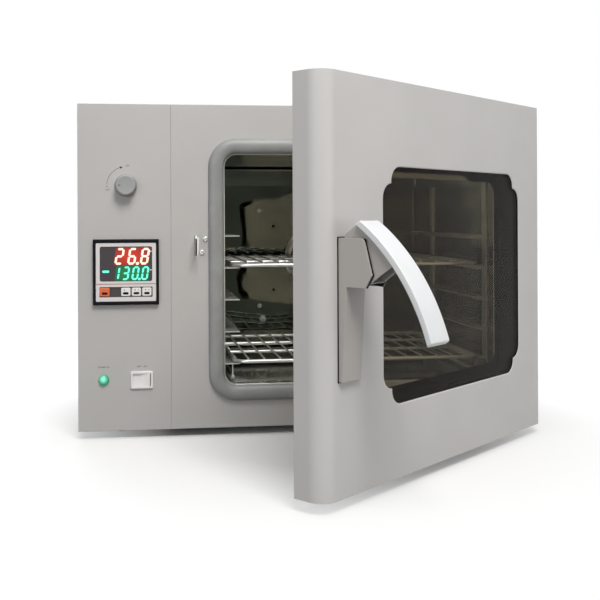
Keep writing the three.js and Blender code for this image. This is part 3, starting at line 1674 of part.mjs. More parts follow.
function buildDoorShell(parent) {
  const skinPlan = (inset) => {
    const r = grow(doorRect, -inset);
    const radius = door.edgeRadius - inset;
    const front = doorFront + inset;
    const back = inset > 0 ? doorBack + overrun : doorBack;
    const shape = new THREE.Shape();
    shape.moveTo(r.right, back);
    shape.lineTo(r.left, back);
    shape.absarc(r.left + radius, front + radius, radius, Math.PI, Math.PI * 1.5);
    shape.absarc(r.right - radius, front + radius, radius, Math.PI * 1.5, Math.PI * 2);
    shape.closePath();
    return shape;
  };
  const bushHole = bore(
    [hingeAxis.x, hingeAxis.y, doorRect.bottom - overrun],
    [hingeAxis.x, hingeAxis.y, doorRect.top + overrun],
    hinge.bushRadius,
    smallSides,
  );
  const shell = cut(
    alongZ(skinPlan(0), doorRect.bottom, doorRect.top, cornerSteps + 1),
    alongZ(skinPlan(door.skin), doorRect.bottom + door.skin, doorRect.top - door.skin, cornerSteps + 1),
    windowUnion(doorFront - overrun, doorFront + door.skin + overrun),
    block(clawSlot(lever.slotMargin), doorFront - overrun, doorFront + door.skin + overrun),
    bushHole,
  );
  piece('door_skin', shell, 'doorPaint', parent);

  const panelFront = doorBack - door.innerPanelFront - door.innerPanelSheet;
  const panelRect = grow(doorRect, -door.skin - gap);
  const notchWidth = hinge.bushRadius + hinge.bushFlange + gap;
  const notchDepth = hinge.bushLength + gap * 2;
  const notches = [
    rect(hingeAxis.x - notchWidth, doorRect.right, doorRect.bottom, doorRect.bottom + notchDepth),
    rect(hingeAxis.x - notchWidth, doorRect.right, doorRect.top - notchDepth, doorRect.top),
  ].map((notch) => block(notch, panelFront - overrun, doorBack + overrun));
  const { centreHeight, innerWidth, innerHeight } = doorWindow;
  const paneRect = rectAt(chamberX, centreHeight, innerWidth, innerHeight);
  const innerPanel = cut(
    pan(panelRect, panelFront, doorBack, door.innerPanelSheet, door.innerPanelSheet + gap),
    alongY(roundedShape(paneRect, doorWindow.cornerRadius), panelFront - overrun, doorBack + overrun),
    block(latchSweep(), panelFront - overrun, doorBack + overrun),
    ...notches,
  );
  piece('door_inner_panel', innerPanel, 'stainless', parent);

  const fillRect = rect(
    doorRect.left + doorFill.leftInset,
    hingeAxis.x - doorFill.rightInset + hinge.bushRadius,
    doorRect.bottom + doorFill.edgeInset,
    doorRect.top - doorFill.edgeInset,
  );
  const fillFront = doorFront + door.skin + gap;
  const frameOuter = doorWindow.glassMargin + doorWindow.frameFlange;
  const hollow = grow(
    rectAt(chamberX, doorWindow.centreHeight, doorWindow.wideWidth, doorWindow.tallHeight),
    frameOuter - doorWindow.frameMargin,
  );
  const fill = cut(
    block(fillRect, fillFront, panelFront - gap),
    alongY(roundedShape(hollow, doorWindow.cornerRadius), fillFront - overrun, panelFront + overrun),
  );
  piece('door_insulation', fill, 'wool', parent);

  const bush = (bottom, way) => {
    const end = bottom + way * hinge.bushLength;
    const flangeStart = bottom + way * (door.skin + gap);
    const flangeEnd = flangeStart + way * hinge.bushFlangeThickness;
    const inside = (hinge.pinRadius + gap) / Math.cos(Math.PI / smallSides);
    const profile = [
      [inside, bottom],
      [hinge.bushRadius, bottom],
      [hinge.bushRadius, flangeStart],
      [hinge.bushRadius + hinge.bushFlange, flangeStart],
      [hinge.bushRadius + hinge.bushFlange, flangeEnd],
      [hinge.bushRadius, flangeEnd],
      [hinge.bushRadius, end],
      [inside, end],
      [inside, bottom],
    ];
    return turnedAlongZ(profile, hingeAxis.x, hingeAxis.y, smallSides);
  };
  piece('hinge_bush_bottom', bush(doorRect.bottom, 1), 'whitePlastic', parent);
  piece('hinge_bush_top', bush(doorRect.top, -1), 'whitePlastic', parent);
}

// The slot in the inner panel for the latch pin, the claw and the striker plate
function latchSweep() {
  const pivot = handle.pivotHeight;
  const top = Math.max(pivot + lever.clawRise + lever.clawEyeRadius, striker.top);
  const fallen = Math.sin(radians(lever.pullAngle)) * lever.clawReach;
  const bottom = pivot - fallen + lever.clawRise - lever.clawEyeRadius * 2;
  const left = Math.min(latchPinLeft(), strikerX);
  const right = handleX + lever.clawThickness / 2;
  return rect(left - lever.slotMargin, right + lever.slotMargin, bottom, top + lever.slotMargin);
}

function latchPinLeft() {
  return handleX - lever.clawThickness / 2 - lever.latchPinReach;
}

function buildDoorWindow(parent) {
  const pane = grow(
    rectAt(chamberX, doorWindow.centreHeight, doorWindow.wideWidth, doorWindow.tallHeight),
    doorWindow.glassMargin,
  );
  const outerFront = doorFront + door.skin + gap;
  const outerBack = outerFront + doorWindow.glass;
  const innerBack = doorBack - door.innerPanelFront - door.innerPanelSheet - gap;
  const innerFront = innerBack - doorWindow.glass;
  const radius = doorWindow.cornerRadius;
  const sheetOfGlass = (front, back) => alongY(roundedShape(pane, radius), front, back, edgeSteps);
  piece('outer_glass', sheetOfGlass(outerFront, outerBack), 'glass', parent);
  piece('inner_glass', sheetOfGlass(innerFront, innerBack), 'glass', parent);

  const wall = grow(pane, -doorWindow.frameMargin);
  const ring = (by, near, far) => alongY(roundedShape(grow(wall, by), radius), near, far, edgeSteps);
  const front = outerBack + gap;
  const back = innerFront - gap;
  const sheet = doorWindow.frameSheet;
  const frame = cut(
    join(
      ring(0, front, back),
      ring(doorWindow.frameFlange - doorWindow.frameMargin, front, front + sheet),
      ring(doorWindow.frameFlange - doorWindow.frameMargin, back - sheet, back),
    ),
    ring(-sheet, front - overrun, back + overrun),
  );
  piece('window_frame', frame, 'darkPlastic', parent);
}

// Handle block, pin, lever and latch pin. Depths are measured out from the door's face.
function buildHandle(parent) {
  const at = (depth) => doorFront - depth;
  const left = handleX - handle.width / 2;
  const right = handleX + handle.width / 2;
  const brow = handle.browRadius;
  const slope = (handle.noseDepth - handle.browDepth) / (handle.top - handle.noseHeight);
  const profile = new THREE.Shape();
  profile.moveTo(at(gap), handle.wedgeBottom);
  profile.lineTo(at(gap), handle.top);
  profile.lineTo(at(handle.browDepth - brow), handle.top);
  profile.quadraticCurveTo(
    at(handle.browDepth),
    handle.top,
    at(handle.browDepth + slope * brow),
    handle.top - brow,
  );
  profile.lineTo(at(handle.noseDepth), handle.noseHeight);
  profile.lineTo(at(handle.chinDepth), handle.blockBottom);
  profile.lineTo(at(handle.wedgeHighDepth), handle.blockBottom);
  profile.lineTo(at(handle.wedgeLowDepth), handle.wedgeBottom);
  profile.closePath();
  const channel = rect(
    left + handle.cheek,
    right - handle.cheek,
    handle.blockBottom,
    handle.top + overrun,
  );
  const pinSeat = handle.pinSeat + gap;
  const pivot = [at(handle.pivotDepth), handle.pivotHeight];
  const pinHole = bore(
    [channel.left - pinSeat, ...pivot],
    [channel.right + pinSeat, ...pivot],
    handle.pinRadius,
    smallSides,
  );
  const base = cut(
    alongX(profile, left, right, edgeSteps + 1),
    block(channel, at(handle.noseDepth + overrun), at(handle.cheek)),
    block(clawSlot(lever.slotMargin), at(handle.cheek + overrun), doorFront),
    pinHole,
  );
  piece('handle_base', base, 'handlePaint', parent);

  const pin = rod(
    [channel.left - handle.pinSeat, ...pivot],
    [channel.right + handle.pinSeat, ...pivot],
    handle.pinRadius,
    smallSides,
  );
  piece('handle_pin', pin, 'bright', parent);

  const turn = new THREE.Group();
  turn.position.set(0, pivot[0], pivot[1]);
  turn.rotation.x = -radians(lever.pullAngle);
  const nested = new THREE.Group();
  nested.position.set(0, -pivot[0], -pivot[1]);
  turn.add(nested);
  parent.add(turn);
  buildLever(nested, at, channel);
}

// The bar's two faces as depths out from the door, at a height
function barOuterDepth(height) {
  const middle = (lever.barTop + lever.barBottom) / 2;
  const share = (height - middle) / ((lever.barTop - lever.barBottom) / 2);
  return lever.barOuter + lever.barBow * (1 - share * share);
}

function barInnerDepth(height) {
  const share = (height - lever.barBottom) / (lever.barTop - lever.barBottom);
  const swell = (lever.barThickness - lever.barTipThickness) * share;
  return barOuterDepth(height) - lever.barTipThickness - swell;
}

function buildLever(parent, at, channel) {
  const heights = Array.from(
    { length: lever.barSteps + 1 },
    (_, i) => lever.barBottom + ((lever.barTop - lever.barBottom) * i) / lever.barSteps,
  );
  const bevel = lever.barBevel;
  const barShape = polygon([
    ...heights.map((height) => [at(barOuterDepth(height) - bevel), height]),
    ...heights.map((height) => [at(barInnerDepth(height) + bevel), height]).reverse(),
  ]);
  const barGeometry = new THREE.ExtrudeGeometry(barShape, {
    depth: handle.width - bevel * 2,
    bevelThickness: bevel,
    bevelSize: bevel,
    bevelSegments: edgeSteps,
  });
  const barLeft = handleX - handle.width / 2 + bevel;
  const bar = solid(turnOntoX(barGeometry).translate(barLeft, 0, 0));
  piece('lever_bar', bar, 'leverPaint', parent);

  // The arm fills the corner between the pivot and the bar, and its pocket opens downwards
  const armLeft = channel.left + lever.armSide;
  const armRight = channel.right - lever.armSide;
  const pivot = { depth: handle.pivotDepth, height: handle.pivotHeight };
  const heel = lever.armHeelHeight;
  const shoulder = lever.armShoulderHeight;
  const seam = lever.armSeam + bevel / 2;
  const armSteps = lever.barSteps / 2;
  const neck = pivot.depth + lever.bossRadius / 2;
  const armOutline = (inset, drop) => {
    const bottom = heel - drop;
    const top = shoulder - inset;
    const rows = Array.from({ length: armSteps + 1 }, (_, i) => {
      const height = bottom + ((top - bottom) * i) / armSteps;
      return [at(barInnerDepth(height) - seam - inset), height];
    });
    return [[at(lever.armHeelDepth + inset), bottom], ...rows, [at(lever.armShoulderDepth + inset), top]];
  };
  const armShape = polygon([
    ...armOutline(0, 0),
    [at(neck), pivot.height + lever.bossRadius],
    [at(neck), pivot.height - lever.bossRadius],
  ]);
  const wall = lever.armWall;
  const pocketShape = polygon([...armOutline(wall, overrun), [at(neck + wall * 2), pivot.height]]);
  const arm = alongX(armShape, armLeft, armRight);
  const pocket = alongX(pocketShape, armLeft + wall, armRight - wall);
  const boss = rod(
    [armLeft, at(pivot.depth), pivot.height],
    [armRight, at(pivot.depth), pivot.height],
    lever.bossRadius,
    mediumSides,
  );
  const eye = { depth: pivot.depth - lever.clawReach, height: pivot.height + lever.clawRise };
  const clawLeft = handleX - lever.clawThickness / 2;
  const clawRight = handleX + lever.clawThickness / 2;
  const claw = alongX(linkShape(pivot, lever.bossRadius, eye, lever.clawEyeRadius, at), clawLeft, clawRight);
  const pinLine = (from, to, centre, radius) => {
    const line = [at(centre.depth), centre.height];
    return rod([from, ...line], [to, ...line], radius, smallSides);
  };
  const eyeRadius = (radius) => (radius + gap) / Math.cos(Math.PI / smallSides);
  const body = cut(
    join(cut(arm, pocket), boss, claw),
    pinLine(armLeft - overrun, armRight + overrun, pivot, eyeRadius(handle.pinRadius)),
    pinLine(clawLeft - overrun, clawRight + overrun, eye, eyeRadius(lever.latchPinRadius)),
  );
  piece('lever_arm', body, 'handlePaint', parent);
  piece('latch_pin', pinLine(latchPinLeft(), clawRight + gap, eye, lever.latchPinRadius), 'bright', parent);
}

// A link: two round ends of different radius joined by their common tangents
function linkShape(from, fromRadius, to, toRadius, at) {
  const [x0, y0, x1, y1] = [at(from.depth), from.height, at(to.depth), to.height];
  const heading = Math.atan2(y1 - y0, x1 - x0);
  const lean = Math.asin((fromRadius - toRadius) / Math.hypot(x1 - x0, y1 - y0));
  const tangent = Math.PI / 2 - lean;
  const shape = new THREE.Shape();
  shape.absarc(x0, y0, fromRadius, heading + tangent, heading + Math.PI * 2 - tangent);
  shape.absarc(x1, y1, toRadius, heading - tangent, heading + tangent);
  shape.closePath();
  return shape;
}

// Moves the oven so that the origin is under the middle of its box
function standOnOrigin(group) {
  const box = new THREE.Box3().setFromObject(group, true);
  const middle = box.getCenter(new THREE.Vector3());
  cabinetGroup.position.set(-middle.x, -middle.y, -box.min.z);
}

export default oven;
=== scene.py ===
"""The look of a bench drying oven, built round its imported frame.

Sizes are millimetres in the cabinet's drawing space: x from its left side, y from its front face (the
front faces -Y), z from its underside. A Place carries them into the frame, which is in metres.
"""

from __future__ import annotations

import json
import logging
import math
from dataclasses import dataclass
from enum import Enum
from typing import Callable, Iterable, Sequence

import bmesh
import bpy
import numpy as np
from mathutils import Matrix, Vector, geometry

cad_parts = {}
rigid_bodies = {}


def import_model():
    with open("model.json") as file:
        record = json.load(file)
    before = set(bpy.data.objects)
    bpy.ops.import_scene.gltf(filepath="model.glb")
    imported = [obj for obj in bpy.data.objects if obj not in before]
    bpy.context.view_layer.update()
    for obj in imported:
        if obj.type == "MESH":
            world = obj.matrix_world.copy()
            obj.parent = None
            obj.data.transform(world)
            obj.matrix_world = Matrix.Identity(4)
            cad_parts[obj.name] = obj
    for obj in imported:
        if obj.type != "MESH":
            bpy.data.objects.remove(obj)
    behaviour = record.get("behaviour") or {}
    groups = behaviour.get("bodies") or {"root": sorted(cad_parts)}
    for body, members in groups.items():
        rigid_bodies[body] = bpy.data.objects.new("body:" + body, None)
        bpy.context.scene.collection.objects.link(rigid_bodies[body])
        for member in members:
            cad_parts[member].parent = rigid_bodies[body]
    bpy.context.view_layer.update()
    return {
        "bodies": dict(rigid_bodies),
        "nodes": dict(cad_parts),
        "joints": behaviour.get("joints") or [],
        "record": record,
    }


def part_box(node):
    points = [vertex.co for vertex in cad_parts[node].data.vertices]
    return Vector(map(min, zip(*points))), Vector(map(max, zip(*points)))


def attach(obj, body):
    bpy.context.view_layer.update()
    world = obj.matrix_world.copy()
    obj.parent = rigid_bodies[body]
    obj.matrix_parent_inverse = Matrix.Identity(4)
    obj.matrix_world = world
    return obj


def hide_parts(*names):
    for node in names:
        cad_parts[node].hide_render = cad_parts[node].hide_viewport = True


log = logging.getLogger("oven")

Array = np.ndarray
Colour = tuple[float, float, float]
Socket = bpy.types.NodeSocket

METRES = 0.001
FULL_TURN = 2 * math.pi
QUARTER = math.pi / 2
LEAST_CORNER = 0.05


class Axis(Enum):
    """The drawing axis that a turned part stands on, as column numbers: round, round, along."""

    X = (1, 2, 0)
    Y = (2, 0, 1)
    Z = (0, 1, 2)


def linear(red: int, green: int, blue: int) -> Colour:
    """Turns a screen colour of 0 to 255 into the linear light that shaders take.

    Args:
        red, green, blue: The colour as a screen shows it.

    Returns:
        The three linear values: (c + 0.055) / 1.055 to the power 2.4, or c / 12.92 near black.
    """
    shown = np.array([red, green, blue]) / 255
    light = np.where(shown > 0.04045, ((shown + 0.055) / 1.055) ** 2.4, shown / 12.92)
    return tuple(float(value) for value in light)


def quarter(steps: int) -> Array:
    """The angles of a quarter turn in so many steps."""
    return np.linspace(0, QUARTER, steps + 1)


class Graph:
    """The nodes of one material, with short calls that add and join them."""

    def __init__(self, name: str) -> None:
        """Starts a material with one Principled shader.

        Args:
            name: The material's name.
        """
        self.material = bpy.data.materials.new(name)
        self.material.use_nodes = True
        self.tree = self.material.node_tree
        self.tree.nodes.clear()
        self.shader = self.tree.nodes.new("ShaderNodeBsdfPrincipled")
        output = self.tree.nodes.new("ShaderNodeOutputMaterial")
        self.tree.links.new(self.shader.outputs[0], output.inputs["Surface"])

    def set(self, **values: object) -> None:
        """Writes fixed values on the shader's own sockets, where _ in a name stands for a space."""
        for name, value in values.items():
            self.shader.inputs[name.replace("_", " ")].default_value = value

    def feed(self, name: str, source: Socket) -> None:
        """Joins a socket to one of the shader's inputs."""
        self.tree.links.new(source, self.shader.inputs[name])

    def _add(self, kind: str, links: dict, values: dict, **options: str) -> bpy.types.Node:
        """Adds a node, joins some of its inputs and writes others.

        Args:
            kind: The node's type name, without its ShaderNode start.
            links: Input name or number to the socket that feeds it.
            values: Input name or number to a fixed value.
            options: The node's own settings.

        Returns:
            The new node.
        """
        node = self.tree.nodes.new("ShaderNode" + kind)
        for key, value in options.items():
            setattr(node, key, value)
        for key, value in values.items():
            node.inputs[key].default_value = value
        for key, source in links.items():
            self.tree.links.new(source, node.inputs[key])
        return node

    def place(self, stretch: Sequence[float] = (1, 1, 1), shift: Sequence[float] = (0, 0, 0)) -> Socket:
        """Object coordinates, shifted and then stretched axis by axis.

        Args:
            stretch: How many times each coordinate is multiplied.
            shift: What is taken from each coordinate first, in metres.

        Returns:
            The socket with the coordinates.
        """
        coordinates = self._add("TexCoord", {}, {}).outputs["Object"]
        offset = [-s * f for s, f in zip(shift, stretch)]
        mapping = self._add("Mapping", {"Vector": coordinates}, {"Scale": stretch, "Location": offset})
        return mapping.outputs[0]

    def noise(self, vector: Socket, scale: float, detail: float = 2.0) -> Socket:
        """Cloudy noise from 0 to 1 with so many cells to the metre."""
        node = self._add("TexNoise", {"Vector": vector}, {"Scale": scale, "Detail": detail})
        return node.outputs["Fac"]

    def cells(self, vector: Socket, scale: float) -> Socket:
        """A random grey for each cell of a crystal pattern."""
        node = self._add("TexVoronoi", {"Vector": vector}, {"Scale": scale})
        return self._add("RGBToBW", {0: node.outputs["Color"]}, {}).outputs[0]

    def remap(self, value: Socket, source: Sequence[float], target: Sequence[float]) -> Socket:
        """Stretches a value from the source range to the target range, clamped at its ends."""
        values = {1: source[0], 2: source[1], 3: target[0], 4: target[1]}
        return self._add("MapRange", {0: value}, values).outputs[0]

    def mix(self, factor: Socket, first: Socket | Colour, second: Socket | Colour) -> Socket:
        """Blends two colours.

        Args:
            factor: How much of the second colour shows.
            first, second: The colours, each fixed or from a socket.

        Returns:
            The socket with the blend.
        """
        ends = {6: first, 7: second}
        links = {key: end for key, end in ends.items() if isinstance(end, Socket)}
        values = {key: (*end, 1) for key, end in ends.items() if key not in links}
        return self._add("Mix", {0: factor, **links}, values, data_type="RGBA").outputs[2]

    def product(self, first: Socket, second: Socket) -> Socket:
        """One value times another."""
        return self._add("Math", {0: first, 1: second}, {}, operation="MULTIPLY").outputs[0]

    def length(self, vector: Socket) -> Socket:
        """The length of a vector."""
        return self._add("VectorMath", {0: vector}, {}, operation="LENGTH").outputs["Value"]

    def bump(self, height: Socket, strength: float, depth: float) -> None:
        """Makes the surface look uneven by a height, chained onto any bump before it.

        Args:
            height: The socket with the height, 0 to 1.
            strength: How much of the effect shows.
            depth: The height of the relief in metres.
        """
        links = {"Height": height}
        fed = self.shader.inputs["Normal"].links
        if fed:
            links["Normal"] = fed[0].from_socket
        node = self._add("Bump", links, {"Strength": strength, "Distance": depth})
        self.feed("Normal", node.outputs[0])


@dataclass(frozen=True)
class Finish:
    """What a surface is made of. Each kind below adds its own pattern.

    Attributes:
        name: The finish in a maker's words.
        slot: The record's material slot that it belongs to. It is not used.
        colour: Its main colour, in linear light.
    """

    name: str
    slot: str
    colour: Colour

    def tone(self, share: float) -> Colour:
        """The main colour made lighter or darker by a share of itself."""
        return tuple(min(1.0, value * share) for value in self.colour)

    def paint(self, graph: Graph) -> None:
        """Adds the finish's pattern to a material's nodes."""
        raise NotImplementedError

    def material(self) -> bpy.types.Material:
        """The Blender material, made once and then shared."""
        found = bpy.data.materials.get(self.name)
        if found:
            return found
        graph = Graph(self.name)
        self.paint(graph)
        return graph.material


@dataclass(frozen=True)
class PowderCoat(Finish):
    """Baked powder paint: an even colour with slow mottling, a fine orange peel and a soft gloss."""

    gloss_range: tuple[float, float] = (0.4, 0.52)
    peel: float = 0.12

    def paint(self, graph: Graph) -> None:
        """Mottles the colour, varies the roughness and raises the orange peel."""
        place = graph.place()
        mottle = graph.remap(graph.noise(place, 7, 3), (0.35, 0.65), (0, 1))
        graph.feed("Base Color", graph.mix(mottle, self.tone(0.97), self.tone(1.02)))
        graph.feed("Roughness", graph.remap(graph.noise(place, 45, 4), (0.3, 0.7), self.gloss_range))
        graph.set(IOR=1.5)
        graph.bump(graph.noise(place, 1300, 2), self.peel, 0.0002)


@dataclass(frozen=True)
class SheetSteel(Finish):
    """Bare sheet: brushed along one axis, with slow waves where it was bent or spot-welded.

    Attributes:
        rough_range: The roughness at the smoothest and the dullest places.
        brush: How many brush lines to the metre lie along each axis; a low number is the brushed way.
        brush_depth: Strength of the brush lines.
        wave: Strength of the slow waves.
        shade: The share of the colour left in the darkest cloud.
        metal: How metallic it is; a dull plating has less.
    """

    rough_range: tuple[float, float] = (0.12, 0.26)
    brush: tuple[float, float, float] = (6, 900, 900)
    brush_depth: float = 0.05
    wave: float = 0.05
    shade: float = 0.9
    metal: float = 1.0

    def paint(self, graph: Graph) -> None:
        """Draws the brush lines and clouds, and bends the reflections slowly."""
        lines = graph.noise(graph.place(self.brush), 1, 2)
        clouds = graph.remap(graph.noise(graph.place(), 9, 2), (0.35, 0.65), (0, 1))
        graph.feed("Base Color", graph.mix(clouds, self.tone(self.shade), self.colour))
        graph.feed("Roughness", graph.remap(lines, (0.3, 0.7), self.rough_range))
        graph.set(Metallic=self.metal)
        graph.bump(lines, self.brush_depth, 0.0001)
        graph.bump(graph.noise(graph.place(), 11, 1), self.wave, 0.01)


@dataclass(frozen=True)
class Galvanised(Finish):
    """Zinc-coated sheet with its crystal spangle."""

    def paint(self, graph: Graph) -> None:
        """Gives each crystal its own grey and roughness."""
        crystal = graph.cells(graph.place(), 160)
        graph.feed("Base Color", graph.mix(crystal, self.tone(0.78), self.tone(1.1)))
        graph.feed("Roughness", graph.remap(crystal, (0, 1), (0.32, 0.5)))
        graph.set(Metallic=0.85)
        graph.bump(crystal, 0.05, 0.0002)


@dataclass(frozen=True)
class Moulding(Finish):
    """Moulded plastic with a fine spark-eroded grain.

    Attributes:
        rough_range: The roughness of the shiniest and the dullest places.
        grain: Strength of the grain.
        shine: How strongly its surface reflects.
    """

    rough_range: tuple[float, float] = (0.3, 0.42)
    grain: float = 0.1
    shine: float = 0.5

    def paint(self, graph: Graph) -> None:
        """Clouds the colour slightly and raises the grain."""
        place = graph.place()
        graph.feed("Base Color", graph.mix(graph.noise(place, 60, 3), self.tone(0.95), self.tone(1.03)))
        graph.feed("Roughness", graph.remap(graph.noise(place, 300, 2), (0.3, 0.7), self.rough_range))
        graph.set(Specular_IOR_Level=self.shine)
        graph.bump(graph.noise(place, 2400, 1), self.grain, 0.0001)


@dataclass(frozen=True)
class Rubber(Finish):
    """Dull elastic material with a bloom of dust and a dry, fine-pored skin."""

    def paint(self, graph: Graph) -> None:
        """Lays pale bloom over the colour and roughens the skin."""
        place = graph.place()
        bloom = graph.remap(graph.noise(place, 30, 4), (0.45, 0.7), (0, 1))
        graph.feed("Base Color", graph.mix(bloom, self.tone(0.94), self.tone(1.08)))
        graph.feed("Roughness", graph.remap(graph.noise(place, 500, 3), (0.3, 0.7), (0.36, 0.5)))
        graph.set(Specular_IOR_Level=0.5)
        graph.bump(graph.noise(place, 1800, 2), 0.15, 0.0002)


@dataclass(frozen=True)
class Wool(Finish):
    """Mineral wool: tangled fibres, lighter on top of darker gaps."""

    def paint(self, graph: Graph) -> None:
        """Tangles two stretched noises into fibres."""
        across = graph.noise(graph.place((60, 900, 900)), 1, 4)
        along = graph.noise(graph.place((900, 900, 60)), 1, 4)
        fibre = graph.product(across, along)
        tangle = graph.remap(fibre, (0.1, 0.4), (0, 1))
        graph.feed("Base Color", graph.mix(tangle, self.tone(0.5), self.colour))
        graph.set(Roughness=0.95, Specular_IOR_Level=0.1)
        graph.bump(fibre, 0.8, 0.002)


@dataclass(frozen=True)
class TintedGlass(Finish):
    """Toughened glass with a dark tint and the faint bloom of wiped hands."""

    def paint(self, graph: Graph) -> None:
        """Deepens the tint a little in the wiped places."""
        smears = graph.remap(graph.noise(graph.place((7, 7, 30)), 1, 3), (0.5, 0.75), (0, 1))
        graph.feed("Base Color", graph.mix(smears, self.colour, self.tone(0.92)))
        graph.set(Roughness=0.0, Transmission_Weight=1.0, IOR=1.1, Specular_IOR_Level=0.2)


@dataclass(frozen=True)
class Glow(Finish):
    """A surface that gives light of its own colour, brightest at its middle.

    Attributes:
        centre: The middle of the bright spot, in metres in the frame.
        reach: How far the spot reaches along each axis, in metres.
        rim: The colour at and past the spot's edge.
        strength: How bright the light is.
    """

    centre: tuple[float, float, float]
    reach: tuple[float, float, float]
    rim: Colour
    strength: float = 1.0

    def paint(self, graph: Graph) -> None:
        """Fades from the colour to the rim's colour with the distance from the centre."""
        offset = graph.place(tuple(1 / value for value in self.reach), self.centre)
        fade = graph.remap(graph.length(offset), (0.25, 1.0), (0, 1))
        graph.feed("Emission Color", graph.mix(fade, self.colour, self.rim))
        graph.feed("Base Color", graph.mix(fade, self.tone(0.4), tuple(c * 0.5 for c in self.rim)))
        graph.feed("Roughness", graph.remap(graph.noise(graph.place(), 400, 2), (0.3, 0.7), (0.06, 0.12)))
        graph.set(Emission_Strength=self.strength)


@dataclass(frozen=True)
class Rect:
    """An upright rectangle in the plane of the front, in millimetres."""

    left: float
    right: float
    bottom: float
    top: float

    @classmethod
    def around(cls, x: float, z: float, width: float, height: float) -> "Rect":
        """A rectangle with its middle at x, z."""
        return cls(x - width / 2, x + width / 2, z - height / 2, z + height / 2)

    def grown(self, by: float) -> "Rect":
        """The rectangle with every side moved out."""
        return Rect(self.left - by, self.right + by, self.bottom - by, self.top + by)

    def outline(self, radius: float, steps: int = 10) -> Array:
        """Points round it with round corners.

        Each corner is a quarter circle about a centre that lies one radius inside both its sides.

        Args:
            radius: The corners' radius.
            steps: Steps of each quarter turn.

        Returns:
            Rows of x, z, counterclockwise as seen from the front, from the right side's top.
        """
        turn = np.linspace(0, QUARTER, steps + 1)
        angles = turn[None, :] + QUARTER * np.arange(4)[:, None]
        across = np.array([self.right - radius, self.left + radius, self.left + radius, self.right - radius])
        up = np.array([self.top - radius, self.top - radius, self.bottom + radius, self.bottom + radius])
        x = across[:, None] + radius * np.cos(angles)
        z = up[:, None] + radius * np.sin(angles)
        return np.stack([x.ravel(), z.ravel()], axis=1)


def circle(x: float, z: float, radius: float, sides: int = 32) -> Array:
    """Points round a circle: the centre plus the radius times cosine and sine of equal steps."""
    angle = np.arange(sides) / sides * FULL_TURN
    return np.stack([x + radius * np.cos(angle), z + radius * np.sin(angle)], axis=1)


def at_depth(outline: Array, y: float) -> Array:
    """Sets an outline of x, z rows at one depth y."""
    return np.column_stack([outline[:, 0], np.full(len(outline), float(y)), outline[:, 1]])


def at_height(outline: Array, z: float) -> Array:
    """Sets an outline of x, y rows at one height z."""
    return np.column_stack([outline, np.full(len(outline), float(z))])


